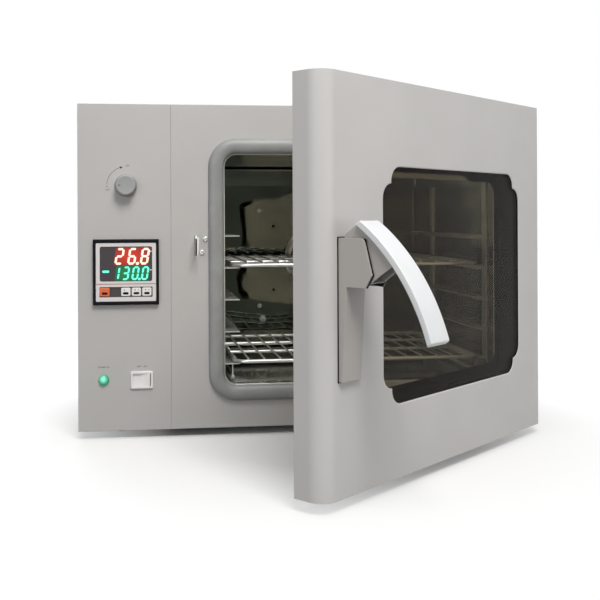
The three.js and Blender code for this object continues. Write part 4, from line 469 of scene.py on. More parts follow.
@dataclass
class Shape:
    """A surface: points in drawing millimetres, and faces as rows of point numbers."""

    points: Array
    faces: list[list[int]]

    @classmethod
    def grid(cls, rows: Array, closed: bool = False, wrapped: bool = True, caps: bool = True) -> "Shape":
        """Quads between the neighbours of a grid of points.

        Point (i, j) is joined to (i, j + 1), (i + 1, j + 1) and (i + 1, j). A cap is one face round the
        first or last row.

        Args:
            rows: Points as rows, columns, coordinates.
            closed: Whether the last row joins the first.
            wrapped: Whether the last column joins the first.
            caps: Whether the open first and last rows are closed by a face.

        Returns:
            The surface.
        """
        count, columns = rows.shape[:2]
        row = np.arange(count if closed else count - 1)
        column = np.arange(columns if wrapped else columns - 1)
        i, j = np.meshgrid(row, column, indexing="ij")
        below, beside = (i + 1) % count, (j + 1) % columns
        corners = [i * columns + j, i * columns + beside, below * columns + beside, below * columns + j]
        faces = np.stack(corners, axis=-1).reshape(-1, 4).tolist()
        if caps and not closed:
            faces.append(list(range(columns))[::-1])
            faces.append(list(range((count - 1) * columns, count * columns)))
        return cls(rows.reshape(-1, 3), faces)

    @classmethod
    def flat(cls, loops: Sequence[Array]) -> "Shape":
        """Triangles that fill an outline with holes.

        Args:
            loops: The outline and then its holes, each as rows of two coordinates.

        Returns:
            The filled outline at z = 0, its points in the order of the loops.
        """
        lines = [[Vector((a, b, 0)) for a, b in loop.tolist()] for loop in loops]
        faces = [list(triangle) for triangle in geometry.tessellate_polygon(lines)]
        points = np.concatenate(loops)
        return cls(np.column_stack([points, np.zeros(len(points))]), faces)

    @classmethod
    def plate(cls, loops: Sequence[Array], front: float, back: float) -> "Shape":
        """A flat plate between two depths: its filled faces, and a wall round each of its loops.

        Args:
            loops: The outline and then its holes, as rows of x, z.
            front: The depth y of its front face.
            back: The depth y of its back face.

        Returns:
            The closed plate.
        """
        faces = cls.flat(loops).faces
        outline = np.concatenate(loops)
        sheets = [cls(at_depth(outline, y), faces) for y in (front, back)]
        walls = [
            cls.grid(np.stack([at_depth(loop, front), at_depth(loop, back)]), caps=False) for loop in loops
        ]
        return cls.joined([*sheets, *walls])

    @classmethod
    def rolled(cls, rect: Rect, corner: float, face: float, back: float, radius: float) -> "Shape":
        """A block whose face has rolled edges.

        Going round the edge by an angle t, the outline is inset by radius (1 - sin t) and lies
        radius (1 - cos t) behind the face.

        Args:
            rect: The block's outline.
            corner: The radius of its corners.
            face: The depth y of the face with the rolled edges.
            back: The depth y of the flat back.
            radius: The radius of the rolled edges.

        Returns:
            The closed block.
        """
        way = math.copysign(1, back - face)
        turn = quarter(8)
        inset = radius * (1 - np.sin(turn))
        depth = face + way * radius * (1 - np.cos(turn))
        corners = [max(corner - i, LEAST_CORNER) for i in inset]
        rings = [at_depth(rect.grown(-i).outline(c), y) for i, c, y in zip(inset, corners, depth)]
        rings.append(at_depth(rect.outline(corner), back))
        return cls.grid(np.stack(rings))

    @classmethod
    def turned(
        cls, profile: Array, centre: Sequence[float], axis: Axis = Axis.Y, sides: int = 48, hoop: bool = False
    ) -> "Shape":
        """A turned part: a profile carried round an axis.

        The point (r, h) of the profile at the angle t stands at r cos t and r sin t across the axis,
        and at h along it.

        Args:
            profile: Rows of radius and distance along the axis.
            centre: Where the axis starts.
            axis: The axis that it stands on.
            sides: Steps of the full turn.
            hoop: Whether the profile is a closed loop, as on a ring.

        Returns:
            The closed surface, its poles still double.
        """
        angle = np.arange(sides) / sides * FULL_TURN
        rows = np.empty((len(profile), sides, 3))
        first, second, along = axis.value
        rows[..., first] = profile[:, :1] * np.cos(angle) + centre[first]
        rows[..., second] = profile[:, :1] * np.sin(angle) + centre[second]
        rows[..., along] = profile[:, 1:] + centre[along]
        return cls.grid(rows, closed=hoop, caps=not hoop)

    @classmethod
    def swept(cls, path: Array, section: Array, up: Sequence[float]) -> "Shape":
        """A section carried along a path that comes back to its start.

        At each point the section's first coordinate lies along up x way, its second along
        way x (up x way), where way is the path's direction there.

        Args:
            path: Points of the path.
            section: Rows of the two section coordinates, round a closed outline.
            up: A direction that the path never takes.

        Returns:
            The closed surface.
        """
        way = np.roll(path, -1, axis=0) - np.roll(path, 1, axis=0)
        way = way / np.linalg.norm(way, axis=1, keepdims=True)
        side = np.cross(np.asarray(up, float), way)
        side = side / np.linalg.norm(side, axis=1, keepdims=True)
        rise = np.cross(way, side)
        across = section[None, :, :1] * side[:, None, :]
        over = section[None, :, 1:] * rise[:, None, :]
        return cls.grid(path[:, None, :] + across + over, closed=True)

    @classmethod
    def rod(cls, start: Sequence[float], end: Sequence[float], radius: float, sides: int = 16) -> "Shape":
        """A straight rod with slightly rounded ends.

        Args:
            start, end: The middles of its ends.
            radius: Its radius.
            sides: Steps of the full turn.

        Returns:
            The closed rod.
        """
        first, last = np.array(start, float), np.array(end, float)
        way = (last - first) / np.linalg.norm(last - first)
        up = (0, 0, 1) if abs(way[2]) < 0.9 else (1, 0, 0)
        side = np.cross(up, way)
        side = side / np.linalg.norm(side)
        rise = np.cross(way, side)
        turn = quarter(3)
        soften = radius / 3
        reach = radius - soften * (1 - np.sin(turn))
        inset = soften * (1 - np.cos(turn))
        angle = np.arange(sides) / sides * FULL_TURN
        hoop = np.cos(angle)[:, None] * side + np.sin(angle)[:, None] * rise
        near = first + inset[:, None] * way
        far = (last - inset[:, None] * way)[::-1]
        centres = np.concatenate([near, far])
        reaches = np.concatenate([reach, reach[::-1]])
        return cls.grid(centres[:, None, :] + reaches[:, None, None] * hoop[None])

    @classmethod
    def joined(cls, shapes: Iterable["Shape"]) -> "Shape":
        """Several surfaces as one, their points kept apart.

        Args:
            shapes: The surfaces.

        Returns:
            The joined surface.
        """
        points, faces, start = [], [], 0
        for shape in shapes:
            points.append(shape.points)
            faces.extend([[corner + start for corner in face] for face in shape.faces])
            start += len(shape.points)
        return cls(np.concatenate(points), faces)


@dataclass(frozen=True)
class Place:
    """A drawing space: how its millimetres lie in the frame, and the body that carries it."""

    matrix: Array
    body: str

    def carry(self, points: Array) -> Array:
        """Points of the drawing space in the frame, in metres."""
        return points @ self.matrix[:3, :3].T + self.matrix[:3, 3]

    def turned(self, body: str, pivot: Sequence[float], axis: str, degrees: float) -> "Place":
        """A drawing space turned about a line through a point of this one.

        Args:
            body: The body that carries the new space.
            pivot: A point of the line, in this space.
            axis: The line's direction, X, Y or Z.
            degrees: The angle.

        Returns:
            The turned space.
        """
        there, back = Matrix.Translation(pivot), Matrix.Translation([-value for value in pivot])
        turn = there @ Matrix.Rotation(math.radians(degrees), 4, axis) @ back
        return Place(self.matrix @ np.array(turn), body)

    def riding(self, body: str) -> "Place":
        """The same drawing space on another body."""
        return Place(self.matrix, body)


@dataclass(frozen=True)
class Edges:
    """How a piece's edges are finished.

    Attributes:
        crease: Faces that meet at more degrees than this keep a crisp edge.
        rounding: The width of a small rounding along such edges, in millimetres.
        steps: Steps of the rounding.
        sheet: The thickness that an open surface is given, in millimetres.
    """

    crease: float = 40
    rounding: float = 0
    steps: int = 3
    sheet: float = 0


SOFT = Edges()


class Shop:
    """Makes the pieces: it dresses meshes and hangs them on their bodies."""

    merge = 1e-6

    def __init__(self, frame: dict) -> None:
        self.nodes = frame["nodes"]
        self.made: list[bpy.types.Object] = []

    def copy(
        self,
        name: str,
        node: str,
        body: str,
        finish: Finish,
        edges: Edges,
        change: Callable[[Array], Array] | None = None,
    ) -> None:
        """Makes one piece from a CAD node: its triangles are merged, so that its edges can be rounded.

        Args:
            name: The piece's name.
            node: The CAD node, which the piece replaces.
            body: The body that carries it.
            finish: Its finish.
            edges: How its edges are finished.
            change: What moves its points, if anything does.
            change: What moves its points, if anything does.
        """
        source = self.nodes[node].data
        points = np.empty(len(source.vertices) * 3)
        source.vertices.foreach_get("co", points)
        if change:
            points = change(points.reshape(-1, 3)).ravel()
        corners = np.empty(len(source.loops), dtype=np.int32)
        source.loops.foreach_get("vertex_index", corners)
        mesh = bpy.data.meshes.new(name)
        mesh.from_pydata(points.reshape(-1, 3).tolist(), [], corners.reshape(-1, 3).tolist())
        self.dress(name, mesh, body, finish, edges, node, level=True)

    def dress(
        self,
        name: str,
        mesh: bpy.types.Mesh,
        body: str,
        finish: Finish,
        edges: Edges,
        node: str,
        level: bool = False,
    ) -> None:
        """Merges, smooths, rounds and paints a mesh, and hangs it on its body.

        Args:
            name: The piece's name.
            mesh: Its mesh in the frame.
            body: The body that carries it.
            finish: Its finish.
            edges: How its edges are finished.
            node: The CAD node that it replaces, if any.
            level: Whether neighbouring triangles in one plane become one face first.
        """
        work = bmesh.new()
        work.from_mesh(mesh)
        bmesh.ops.remove_doubles(work, verts=work.verts, dist=self.merge)
        bmesh.ops.dissolve_degenerate(work, edges=work.edges, dist=self.merge)
        if level:
            bmesh.ops.dissolve_limit(work, angle_limit=math.radians(1), verts=work.verts, edges=work.edges)
        bmesh.ops.recalc_face_normals(work, faces=work.faces)
        work.to_mesh(mesh)
        work.free()
        mesh.shade_smooth()
        mesh.set_sharp_from_angle(angle=math.radians(edges.crease))
        mesh.materials.append(finish.material())
        piece = bpy.data.objects.new(name, mesh)
        bpy.context.scene.collection.objects.link(piece)
        if edges.sheet:
            solid = piece.modifiers.new("sheet", "SOLIDIFY")
            solid.thickness = edges.sheet * METRES
            solid.offset = -1
        if edges.rounding:
            bevel = piece.modifiers.new("rounding", "BEVEL")
            bevel.width = edges.rounding * METRES
            bevel.segments = edges.steps
            bevel.limit_method = "ANGLE"
            bevel.angle_limit = math.radians(edges.crease)
            bevel.harden_normals = True
        weighted = piece.modifiers.new("flat faces", "WEIGHTED_NORMAL")
        weighted.keep_sharp = True
        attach(piece, body)
        if node:
            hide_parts(node)
        self.made.append(piece)
        log.info("%s rides on %s, finished in %s", name, body, finish.name)


class Paints(Enum):
    """The oven's finishes, by the record's slots."""

    PANEL = PowderCoat("panel powder coat", "panel_paint", linear(191, 189, 187))
    DOOR = PowderCoat("door powder coat", "door_paint", linear(203, 201, 199), peel=0.08)
    HANDLE = PowderCoat("handle powder coat", "handle_paint", linear(176, 172, 168), gloss_range=(0.35, 0.46))
    LEVER = Moulding("lever enamel", "lever_white", linear(226, 228, 230), (0.3, 0.38), 0.03)
    ZINC = Galvanised("zinc spangle", "galvanised", linear(170, 172, 174))
    STEEL = SheetSteel(
        "polished liner steel", "stainless", linear(118, 121, 114), (0.07, 0.14), (4, 500, 500), 0.02
    )
    RUNNER = SheetSteel(
        "runner steel", "stainless", linear(228, 228, 224), (0.14, 0.26), (8, 700, 700), 0.04, metal=0.6
    )
    MIRROR = SheetSteel(
        "mirror baffle", "mirror_plate", linear(98, 101, 93), (0.02, 0.05), (3, 260, 260), 0.004, 0.16, 0.75
    )
    BRIGHT = SheetSteel(
        "bright plated steel",
        "bright_metal",
        linear(226, 226, 222),
        (0.12, 0.24),
        (80, 80, 80),
        0.03,
        metal=0.55,
    )
    SEAL = Rubber("silicone seal", "silicone_seal", linear(148, 149, 148))
    FOOT = Rubber("foot rubber", "foot_rubber", linear(40, 42, 44))
    WOOL = Wool("mineral wool batt", "mineral_wool", linear(201, 189, 143))
    KNOB = Moulding("knob nylon", "knob_grey", linear(160, 161, 160), (0.42, 0.55), 0.12)
    WHITE = Moulding("white switch nylon", "white_plastic", linear(240, 239, 238), (0.3, 0.4), 0.06)
    FACE = Moulding("white face film", "white_plastic", linear(228, 224, 223), (0.42, 0.52), 0.08)
    BLACK = Moulding("black bezel nylon", "dark_plastic", linear(7, 8, 13), (0.45, 0.6), 0.12, 0.12)
    STRIP = Moulding("key strip film", "dark_plastic", linear(60, 52, 54), (0.4, 0.5), 0.1)
    PRINT = Moulding("printed mark ink", "dark_plastic", linear(46, 46, 50), (0.5, 0.6), 0.05)
    RUST = Moulding("rust line ink", "orange_plastic", linear(170, 92, 70), (0.5, 0.6), 0.05)
    ORANGE = Moulding("orange key rubber", "orange_plastic", linear(226, 112, 66), (0.4, 0.5), 0.1)
    PANE = Moulding("smoked display pane", "display_pane", linear(58, 50, 53), (0.16, 0.24), 0.02)
    GLASS = TintedGlass("tinted oven glass", "window_glass", linear(224, 218, 207))
    HEATER = SheetSteel(
        "heater sheath", "heater_steel", linear(108, 100, 94), (0.35, 0.55), (60, 60, 60), 0.2
    )
    MOTOR = PowderCoat("motor enamel", "motor_grey", linear(88, 93, 98))


@dataclass(frozen=True)
class Openings:
    """The sizes that several assemblies share, in drawing millimetres."""

    width: float = 674
    depth: float = 500
    height: float = 480
    sheet: float = 1.5
    gap: float = 0.3
    column: float = 136
    column_x: float = 70
    chamber: Rect = Rect(214.5, 632.5, 63, 407)
    chamber_corner: float = 19
    chamber_depth: float = 345
    mouth_reveal: float = 8
    fan_x: float = 423.5
    fan_z: float = 235
    vent_z: float = 360
    controller_z: float = 233
    switch_x: float = 92.5
    switch_z: float = 74
    lamp_x: float = 37
    lamp_z: float = 75.3


SIZES = Openings()


def pan(
    rect: Rect, face: float, rim: float, roll: float, sheet: float, holes: Sequence[Array] = ()
) -> Shape:
    """A folded sheet pan: a flat face with holes, its four edges rolled over towards the rim.

    Going round the rolled edge by an angle t, the outline is inset by roll (1 - sin t) and lies
    roll (1 - cos t) behind the face. The inner surface is the same one sheet thickness further in.

    Args:
        rect: The pan's outline.
        face: The depth y of its face.
        rim: The depth y where its turned edges end.
        roll: The radius of the rolled edges.
        sheet: The sheet's thickness.
        holes: Loops of x, z rows that are cut out of the face.

    Returns:
        The closed sheet.
    """
    way = math.copysign(1, rim - face)
    turn = quarter(6)
    rows = []
    for shift, bend in ((0.0, roll), (sheet, max(roll - sheet, LEAST_CORNER))):
        inset = bend * (1 - np.sin(turn))
        depth = face + way * (shift + bend * (1 - np.cos(turn)))
        corners = [max(bend - i, LEAST_CORNER) for i in inset]
        side = [
            at_depth(rect.grown(-shift - i).outline(c, 6), y) for i, c, y in zip(inset, corners, depth)
        ]
        side.append(at_depth(rect.grown(-shift).outline(max(bend, LEAST_CORNER), 6), rim))
        rows.append(side)
    outer, inner = rows
    skin = Shape.grid(np.stack([*outer, *inner[::-1]]), caps=False)
    sheets = []
    for edge, y in ((outer[0], face), (inner[0], face + way * sheet)):
        loops = [edge[:, [0, 2]], *holes]
        flat = Shape.flat(loops)
        sheets.append(Shape(at_depth(np.concatenate(loops), y), flat.faces))
    walls = [
        Shape.grid(np.stack([at_depth(loop, face), at_depth(loop, face + way * sheet)]), caps=False)
        for loop in holes
    ]
    return Shape.joined([skin, *sheets, *walls])


def screw_head(x: float, z: float, seat: float, radius: float, rise: float, out: float = -1) -> Shape:
    """A round screw head with a cross recess, as a height over a disc.

    The dome's height at the radius r is rise times 0.35 + 0.65 root (1 - (r / radius) squared).
    Inside either bar of the cross the recess takes away most of it, fading out at the bar's edge.

    Args:
        x, z: The head's middle.
        seat: The depth y that it lies on.
        radius: Its radius.
        rise: Its height.
        out: -1 where it looks forward, 1 where it looks back.

    Returns:
        The closed head.
    """
    ring = np.linspace(1, 0, 26)[:, None] * radius
    angle = np.arange(72)[None, :] / 72 * FULL_TURN
    u, v = ring * np.cos(angle), ring * np.sin(angle)
    dome = rise * (0.35 + 0.65 * np.sqrt(np.clip(1 - (ring / radius) ** 2, 0, 1)))
    near, far = np.minimum(abs(u), abs(v)), np.maximum(abs(u), abs(v))
    slot = np.clip((0.16 * radius - near) / (0.06 * radius), 0, 1)
    slot = slot * np.clip((0.62 * radius - far) / (0.08 * radius), 0, 1)
    height = dome * (1 - 0.72 * slot)
    rows = np.stack([x + u, seat + out * height, z + v], axis=-1)
    foot = np.stack([x + u[0], np.full(u.shape[1], float(seat)), z + v[0]], axis=-1)
    return Shape.grid(np.concatenate([foot[None], rows]))


def lettering(words: str, x: float, z: float, y: float, height: float, lean: float = 0) -> Shape:
    """Printed words as a thin raised film, centred on x, z.

    Args:
        words: What it says.
        x, z: The middle of the words.
        y: The depth of the surface that they are printed on.
        height: The height of a capital.
        lean: How far the letters lean, as a share of their height.

    Returns:
        The film.
    """
    film = 0.04
    capital_share = 0.7
    curve = bpy.data.curves.new("words", "FONT")
    curve.body = words
    curve.align_x = "CENTER"
    curve.align_y = "CENTER"
    curve.size = height / capital_share
    curve.shear = lean
    curve.extrude = film
    holder = bpy.data.objects.new("words", curve)
    bpy.context.scene.collection.objects.link(holder)
    mesh = bpy.data.meshes.new_from_object(holder.evaluated_get(bpy.context.evaluated_depsgraph_get()))
    points = np.empty(len(mesh.vertices) * 3)
    mesh.vertices.foreach_get("co", points)
    faces = [list(polygon.vertices) for polygon in mesh.polygons]
    bpy.data.objects.remove(holder)
    bpy.data.curves.remove(curve)
    bpy.data.meshes.remove(mesh)
    across, up, out = points.reshape(-1, 3).T
    return Shape(np.column_stack([x + across, y - film - out, z + up]), faces)


@dataclass(frozen=True)
class Assembly:
    """A sub-assembly, with the shop that makes its pieces and the drawing space that they lie in."""

    shop: Shop
    space: Place

    def make(
        self,
        name: str,
        shape: Shape,
        paint: Paints | Finish,
        edges: Edges = SOFT,
        node: str = "",
        space: Place | None = None,
    ) -> None:
        """Makes one piece.

        Args:
            name: The piece's name.
            shape: Its surface in drawing millimetres.
            paint: Its finish.
            edges: How its edges are finished.
            node: The CAD node that it replaces, if any.
            space: Its drawing space, where it isn't the assembly's own.
        """
        finish = paint.value if isinstance(paint, Paints) else paint
        space = space or self.space
        mesh = bpy.data.meshes.new(name)
        mesh.from_pydata(space.carry(shape.points).tolist(), [], shape.faces)
        self.shop.dress(name, mesh, space.body, finish, edges, node)


@dataclass(frozen=True)
class Casing(Assembly):
    """Cabinet shell: wrap-round casing, rear cover with louvres, feet and the mains gland.

    Attributes:
        banks: The middle and the length of each bank of louvres.
    """

    front: float = 20.3
    edge: float = 3
    foot_radius: float = 15
    foot_height: float = 12
    foot_inset: float = 62
    foot_rounding: float = 2.5
    foot_bevel: float = 1
    foot_recess: float = 5
    foot_sunk: float = 4
    cover_back: float = 493.5
    cover_return: float = 12
    side_gap: float = 1.8
    banks: tuple[tuple[float, float], ...] = ((76, 88), (SIZES.fan_x, 130))
    louvre_first: float = 118
    louvre_pitch: float = 20.5
    louvre_count: int = 9
    louvre_opening: float = 7
    louvre_depth: float = 4.6
    louvre_metal: float = 1.2
    louvre_end: float = 12
    slot_corner: float = 1
    gland_x: float = 60
    gland_z: float = 62
    gland_bore: float = 4.5
    gland_radius: float = 8.3
    duct_hole: float = 21.4

    def build(self) -> None:
        """Builds the shell's pieces."""
        walls = Shape.plate([self._wrap()], self.front, SIZES.depth)
        self.make("casing", walls, Paints.PANEL, Edges(30, rounding=0.4), "outer_casing")
        self.make("cover", self._cover(), Paints.PANEL, Edges(30), "rear_cover")
        self._feet()
        self._gland()

    def _wrap(self) -> Array:
        """The casing's U seen from the front, up one side, over the roof and down, then back inside.

        Returns:
            Rows of x, z round the sheet.
        """
        turn = quarter(8)
        legs = []
        for inset, radius in ((0.0, self.edge), (SIZES.sheet, self.edge - SIZES.sheet)):
            left, right, top = inset, SIZES.width - inset, SIZES.height - inset
            first = [right - radius + radius * np.cos(turn), top - radius + radius * np.sin(turn)]
            second = [left + radius - radius * np.sin(turn), top - radius + radius * np.cos(turn)]
            arch = np.concatenate([np.transpose(first), np.transpose(second)])
            legs.append(np.concatenate([[[right, 0]], arch, [[left, 0]]]))
        return np.concatenate([legs[0], legs[1][::-1]])

    def _cover(self) -> Shape:
        """The rear cover: a pan with a slot under every louvre, and the louvres' hoods.

        Returns:
            The cover and its hoods.
        """
        gap, opening, metal = self.side_gap, self.louvre_opening, self.louvre_metal
        rect = Rect(gap, SIZES.width - gap, gap, SIZES.height - gap)
        holes = [circle(SIZES.column_x, SIZES.vent_z, self.duct_hole, 64)]
        holes.append(circle(self.gland_x, self.gland_z, self.gland_radius, 40))
        hoods = []
        for middle, length in self.banks:
            for number in range(self.louvre_count):
                sill = self.louvre_first + number * self.louvre_pitch
                slot = Rect.around(middle, sill + opening / 2, length - 2 * metal, opening)
                holes.append(slot.outline(self.slot_corner, 3))
                hoods.append(self._hood(middle, length, sill))
        cover = pan(rect, self.cover_back, self.cover_back - self.cover_return, self.edge, SIZES.sheet, holes)
        return Shape.joined([cover, *hoods])

    def _hood(self, middle: float, length: float, sill: float) -> Shape:
        """One louvre: a quarter-oval hood, open below, that sinks into the sheet at its ends.

        Along x the hood's depth is its full depth times the root of 1 - 0.96 s squared, where s grows from 0
        to 1 over the last stretch before each end. Its section is a quarter oval from the lip at the
        sill to the sheet above.

        Args:
            middle: The hood's middle along x.
            length: Its length.
            sill: The height of its open edge.

        Returns:
            The closed hood.
        """
        end, least, sunk = self.louvre_end, 0.02, 0.1
        sink_share, metal_share = 0.96, 0.8
        x = np.concatenate([
            np.linspace(-length / 2, end - length / 2, 9),
            np.linspace(length / 2 - end, length / 2, 9),
        ])
        s = np.clip((abs(x) - (length / 2 - end)) / end, 0, 1)
        bulge = np.sqrt(1 - sink_share * s**2)[:, None]
        turn = quarter(8)
        height = self.louvre_opening + self.louvre_metal
        metal = self.louvre_metal * metal_share
        outer_y = self.louvre_depth * np.cos(turn) * bulge
        outer_z = height * np.sin(turn) * np.ones_like(bulge)
        inner_y = np.clip(outer_y - metal * np.cos(turn), least, None)
        inner_z = (height - metal) * np.sin(turn) * np.ones_like(bulge)
        ring_y = np.concatenate([outer_y, inner_y[:, ::-1]], axis=1)
        ring_z = np.concatenate([outer_z, inner_z[:, ::-1]], axis=1)
        xs = np.broadcast_to((middle + x)[:, None], ring_y.shape)
        return Shape.grid(np.stack([xs, self.cover_back - sunk + ring_y, sill + ring_z], axis=-1))

    def _feet(self) -> None:
        """Four turned rubber feet with a rounded tread and a screw recess."""
        top, low, radius, inset = -SIZES.gap, -self.foot_height, self.foot_radius, self.foot_inset
        ease, bevel, recess = self.foot_rounding, self.foot_bevel, self.foot_recess
        turn = quarter(6)
        tread = [radius - ease + ease * np.cos(turn), low + ease - ease * np.sin(turn)]
        profile = np.concatenate([
            [[0, top], [radius - bevel, top], [radius, top - bevel]],
            np.transpose(tread),
            [[recess, low], [recess, low + self.foot_sunk], [0, low + self.foot_sunk]],
        ])
        for side, x in (("left", inset), ("right", SIZES.width - inset)):
            for end, y in (("front", inset), ("rear", SIZES.depth - inset)):
                shape = Shape.turned(profile, (x, y, 0), Axis.Z, 56)
                self.make(f"pad_{end}_{side}", shape, Paints.FOOT, node=f"foot_{end}_{side}")

    def _gland(self) -> None:
        """The mains gland: a sleeve with a ribbed dome, and a hexagon nut on each side of the cover."""
        x, z, bore = self.gland_x, self.gland_z, self.gland_bore
        front, sleeve, neck, collar = 478, 8, 1, 0.6
        nut, nut_radius, nut_bore, inner_nut = 5, 12, 7.9, 486.7
        dome_radius, fall, rib, reach = 9, 3.4, 0.25, 9.9
        seat = self.cover_back + SIZES.gap
        back = seat + nut
        dome = np.linspace(0, 1, 15)
        ribs = dome_radius - fall * dome**2 + rib * np.sin(dome * 5 * FULL_TURN)
        profile = np.concatenate([
            [[bore, front], [sleeve, front], [sleeve, back - neck], [dome_radius, back - collar]],
            np.column_stack([ribs, back + dome * reach]),
            [[bore, back + reach]],
        ])
        parts = [Shape.turned(profile, (x, 0, z), Axis.Y, 64, hoop=True)]
        for near in (seat, inner_nut):
            loops = [circle(x, z, nut_radius, 6), circle(x, z, nut_bore, 48)]
            parts.append(Shape.plate(loops, near, near + nut))
        self.make("cord_gland", Shape.joined(parts), Paints.BLACK, Edges(35, rounding=0.4), "power_gland")


@dataclass(frozen=True)
class Front(Assembly):
    """The control column's panel, the front frame round the mouth, and the striker with its screws.

    Attributes:
        screws: Name, x and z of each of the striker's screws.
    """

    roll: float = 0.6
    rim: float = 20
    seam: float = 0.1
    hole_corner: float = 1
    slit_corner: float = 0.3
    controller_hole: float = 91.2
    switch_hole: tuple[float, float] = (30.6, 22)
    lamp_hole: float = 5.3
    shaft_hole: float = 3.3
    tongue: Rect = Rect(649.7, 668.3, 474, 477)
    striker_x: float = 171
    striker_reach: float = 22
    striker_bottom: float = 255
    striker_top: float = 286
    blade: float = 2
    lip_width: float = 5.6
    lip_sheet: float = 1.5
    flange: Rect = Rect(171, 199, 252, 292)
    flange_corner: float = 1.5
    flange_front: float = 1.8
    flange_back: float = 3.8
    screws: tuple[tuple[str, float, float], ...] = (("upper", 187.2, 280.4), ("lower", 182, 260.6))
    head_radius: float = 3.8
    head_rise: float = 2.2
    shank_radius: float = 1.8
    shank_end: float = 6.8

    def build(self) -> None:
        """Builds the panels and the striker."""
        self._panels()
        self._striker()

    def _panels(self) -> None:
        """The two folded fronts, side by side with a thin seam."""
        x, reveal, corner = SIZES.column_x, SIZES.mouth_reveal, self.hole_corner
        holes = [
            Rect.around(x, SIZES.controller_z, self.controller_hole, self.controller_hole).outline(corner),
            Rect.around(SIZES.switch_x, SIZES.switch_z, *self.switch_hole).outline(corner),
            circle(SIZES.lamp_x, SIZES.lamp_z, self.lamp_hole),
            circle(x, SIZES.vent_z, self.shaft_hole),
        ]
        panel = pan(Rect(0, SIZES.column, 0, SIZES.height), 0, self.rim, self.roll, SIZES.sheet, holes)
        self.make("column_front", panel, Paints.PANEL, Edges(35), "control_panel")
        right = Rect(SIZES.column + self.seam, SIZES.width, 0, SIZES.height)
        slot = Rect(self.striker_x, self.striker_x + self.blade, self.striker_bottom, self.striker_top)
        holes = [
            SIZES.chamber.grown(reveal).outline(SIZES.chamber_corner + reveal, 16),
            slot.grown(SIZES.gap).outline(self.slit_corner, 2),
            self.tongue.outline(self.slit_corner, 2),
        ]
        frame = pan(right, 0, self.rim, self.roll, SIZES.sheet, holes)
        self.make("mouth_front", frame, Paints.PANEL, Edges(35), "front_frame")

    def _striker(self) -> None:
        """The striker: a hooked blade drawn in y and z, its folded lip, its flange, and two screws.

        The lip narrows downwards by the taper's share. The narrowing starts one flare below its top
        and is full one flare further down.
        """
        nose, near, far, notch = 5, -17, -7, 273
        foot, corner, flare, taper_share = 1, 1.4, 8, 0.35
        bottom, top, tip = self.striker_bottom, self.striker_top, -self.striker_reach
        turn = quarter(8)
        outline = np.concatenate([
            [[self.flange_back, bottom], [self.flange_back, top]],
            np.column_stack([tip + nose - nose * np.sin(turn), top - nose + nose * np.cos(turn)]),
            [[tip, bottom], [near, bottom], [near, notch], [far, notch], [far, bottom]],
        ])
        blade = Shape.plate([outline], self.striker_x, self.striker_x + self.blade)
        blade = Shape(blade.points[:, [1, 0, 2]], blade.faces)
        lip = Rect(self.striker_x, self.striker_x + self.lip_width, bottom + foot, top - self.blade)
        face = lip.outline(corner, 6)
        taper = taper_share * np.clip((lip.top - flare - face[:, 1]) / flare, 0, 1)
        face[:, 0] = lip.left + (face[:, 0] - lip.left) * (1 - taper)
        front = Shape.plate([face], tip, tip + self.lip_sheet)
        base = Shape.plate([self.flange.outline(self.flange_corner, 4)], self.flange_front, self.flange_back)
        shape = Shape.joined([blade, front, base])
        self.make("striker", shape, Paints.BRIGHT, Edges(35, rounding=0.35), "striker_plate")
        for name, x, z in self.screws:
            head = screw_head(x, z, -SIZES.gap, self.head_radius, self.head_rise)
            shank = Shape.rod((x, -SIZES.gap, z), (x, self.shank_end, z), self.shank_radius)
            shape = Shape.joined([head, shank])
            self.make(f"striker_fixing_{name}", shape, Paints.BRIGHT, node=f"striker_screw_{name}")


